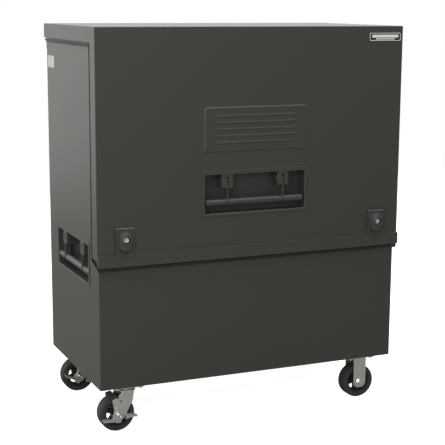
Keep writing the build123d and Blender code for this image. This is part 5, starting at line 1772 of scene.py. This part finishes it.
@dataclass
class Studio:
    """Pale floor, soft lights, a bright backdrop and the camera."""

    camera_at: tuple[float, float, float] = (-1.8145, -4.1953, 1.5489)
    yaw: float = 23.45
    pitch: float = 10.59
    roll: float = 0.343
    lens: float = 95.3
    sensor: float = 36.0
    floor_half: float = 5.0
    lights: tuple[SoftLight, ...] = (
        SoftLight("top_light", (0.0, -0.5, 3.6), (0.0, -0.5, 0.5), (4.4, 4.2), 175),
        SoftLight("left_light", (-3.2, 1.2, 3.4), (0.0, 0.0, 1.2), (2.6, 1.6), 34),
        SoftLight("front_light", (-2.9, -4.2, 2.4), (0.0, 0.0, 0.5), (3.0, 2.4), 140))
    white: tuple = (1, 1, 1, 1)
    daylight: tuple = (1.0, 0.965, 0.945, 1)
    floor_seen: tuple = ((0.60, 0.60, 0.60, 1), (0.62, 0.62, 0.62, 1))
    floor_thrown: tuple = (0.24, 0.234, 0.222, 1)
    floor_glow: float = 0.86

    def camera(self) -> None:
        """A camera from its turn about the vertical, its downward tilt and a slight roll."""
        yaw, pitch, roll = (math.radians(a) for a in (self.yaw, self.pitch, self.roll))
        level_reach = math.cos(pitch)
        ahead = Vector((math.sin(yaw) * level_reach, math.cos(yaw) * level_reach, -math.sin(pitch)))
        level = Vector((math.cos(yaw), -math.sin(yaw), 0))
        above = level.cross(ahead)
        right = level * math.cos(roll) + above * math.sin(roll)
        up = above * math.cos(roll) - level * math.sin(roll)
        data = bpy.data.cameras.new("studio_camera")
        data.lens, data.sensor_width, data.sensor_fit = self.lens, self.sensor, "HORIZONTAL"
        thing = bpy.data.objects.new("studio_camera", data)
        bpy.context.scene.collection.objects.link(thing)
        turn = Matrix((right, up, -ahead)).transposed().to_4x4()
        thing.matrix_world = Matrix.Translation(self.camera_at) @ turn
        bpy.context.scene.camera = thing

    def world(self) -> None:
        """Bright behind and to the left, dim in front, and plain white to the camera."""
        world = bpy.data.worlds.new("studio")
        bpy.context.scene.world = world
        world.use_nodes = True
        wire = Wiring(world.node_tree)
        way = wire.node("ShaderNodeSeparateXYZ")
        wire.feed(way.inputs[0], wire.node("ShaderNodeTexCoord").outputs["Generated"])
        behind = wire.spread(way.outputs["Y"], -0.3, 0.7, 0.34, 1.6)
        left = wire.spread(way.outputs["X"], 0.2, -0.9, 0.0, 0.10)
        high = wire.spread(way.outputs["Z"], -0.4, 0.3, 0.9, 1.0)
        lit = wire.maths("MULTIPLY", wire.maths("ADD", behind, left), high)
        ray = wire.node("ShaderNodeLightPath").outputs["Is Camera Ray"]
        unseen = wire.maths("SUBTRACT", 1.0, ray)
        strength = wire.maths("ADD", wire.maths("MULTIPLY", lit, unseen), ray)
        back = world.node_tree.nodes["Background"]
        wire.feed(back.inputs["Color"], wire.mixed(ray, self.daylight, self.white))
        wire.feed(back.inputs["Strength"], strength)

    def floor(self) -> None:
        """A wide floor, level, with a faint tone in its paint."""
        half = self.floor_half
        mesh = bpy.data.meshes.new("studio_floor")
        corners = np.array([[-half, -half, 0], [half, -half, 0], [half, half, 0], [-half, half, 0]])
        mesh.from_pydata(corners, [], [[0, 1, 2, 3]])
        thing = bpy.data.objects.new("studio_floor", mesh)
        bpy.context.scene.collection.objects.link(thing)
        mesh.materials.append(self.floor_paint())

    def floor_paint(self) -> bpy.types.Material:
        """A pale matt paint that glows to the eye and throws little light back.

        Returns:
            The material.
        """
        made = bpy.data.materials.new("studio_floor_paint")
        made.use_nodes = True
        wire = Wiring(made.node_tree)
        shader = made.node_tree.nodes["Principled BSDF"]
        seen = wire.node("ShaderNodeLightPath").outputs["Is Camera Ray"]
        tone = wire.spread(wire.noise(1.5, 3.0), 0.3, 0.7, 0.0, 1.0)
        pale = wire.mixed(tone, *self.floor_seen)
        wire.feed(shader.inputs["Base Color"], wire.mixed(seen, self.floor_thrown, pale))
        shader.inputs["Roughness"].default_value = 0.7
        shader.inputs["Specular IOR Level"].default_value = 0.1
        shader.inputs["Emission Color"].default_value = self.white
        wire.feed(shader.inputs["Emission Strength"], wire.maths("MULTIPLY", seen, self.floor_glow))
        return made

    def build(self) -> None:
        """Set the view, the world, the floor, the lights and the camera."""
        bpy.context.scene.view_settings.view_transform = "Standard"
        self.world()
        self.floor()
        for light in self.lights:
            light.hang()
        self.camera()


def main() -> None:
    """Build every sub-assembly in order."""
    Studio().build()
    CarriedOver().dress()
    Castors().build()
    for side in ("left", "right"):
        Lock(side).build()
    for side in (-1, 1):
        TabEdge(side).build()
    handles = {
        "front": Handle("front", Facing.FRONT),
        "left": Handle("left", Facing.LEFT),
        "right": Handle("right", Facing.RIGHT)}
    for handle in handles.values():
        handle.build()
        PocketBead(handle).build("lid" if handle.way is Facing.FRONT else "chest")
    PivotBolts().build("front_pivot_bolts", "lid", [handles["front"]])
    PivotBolts().build("side_pivot_bolts", "chest", [handles["left"], handles["right"]])
    Badge().build()
    SideLabel().build()
    HingeRivets().build("hinge_leaf_lid", "lid")
    HingeRivets().build("hinge_leaf_body", "chest")


if __name__ == "__main__":
    logging.basicConfig(level=logging.INFO)
    main()
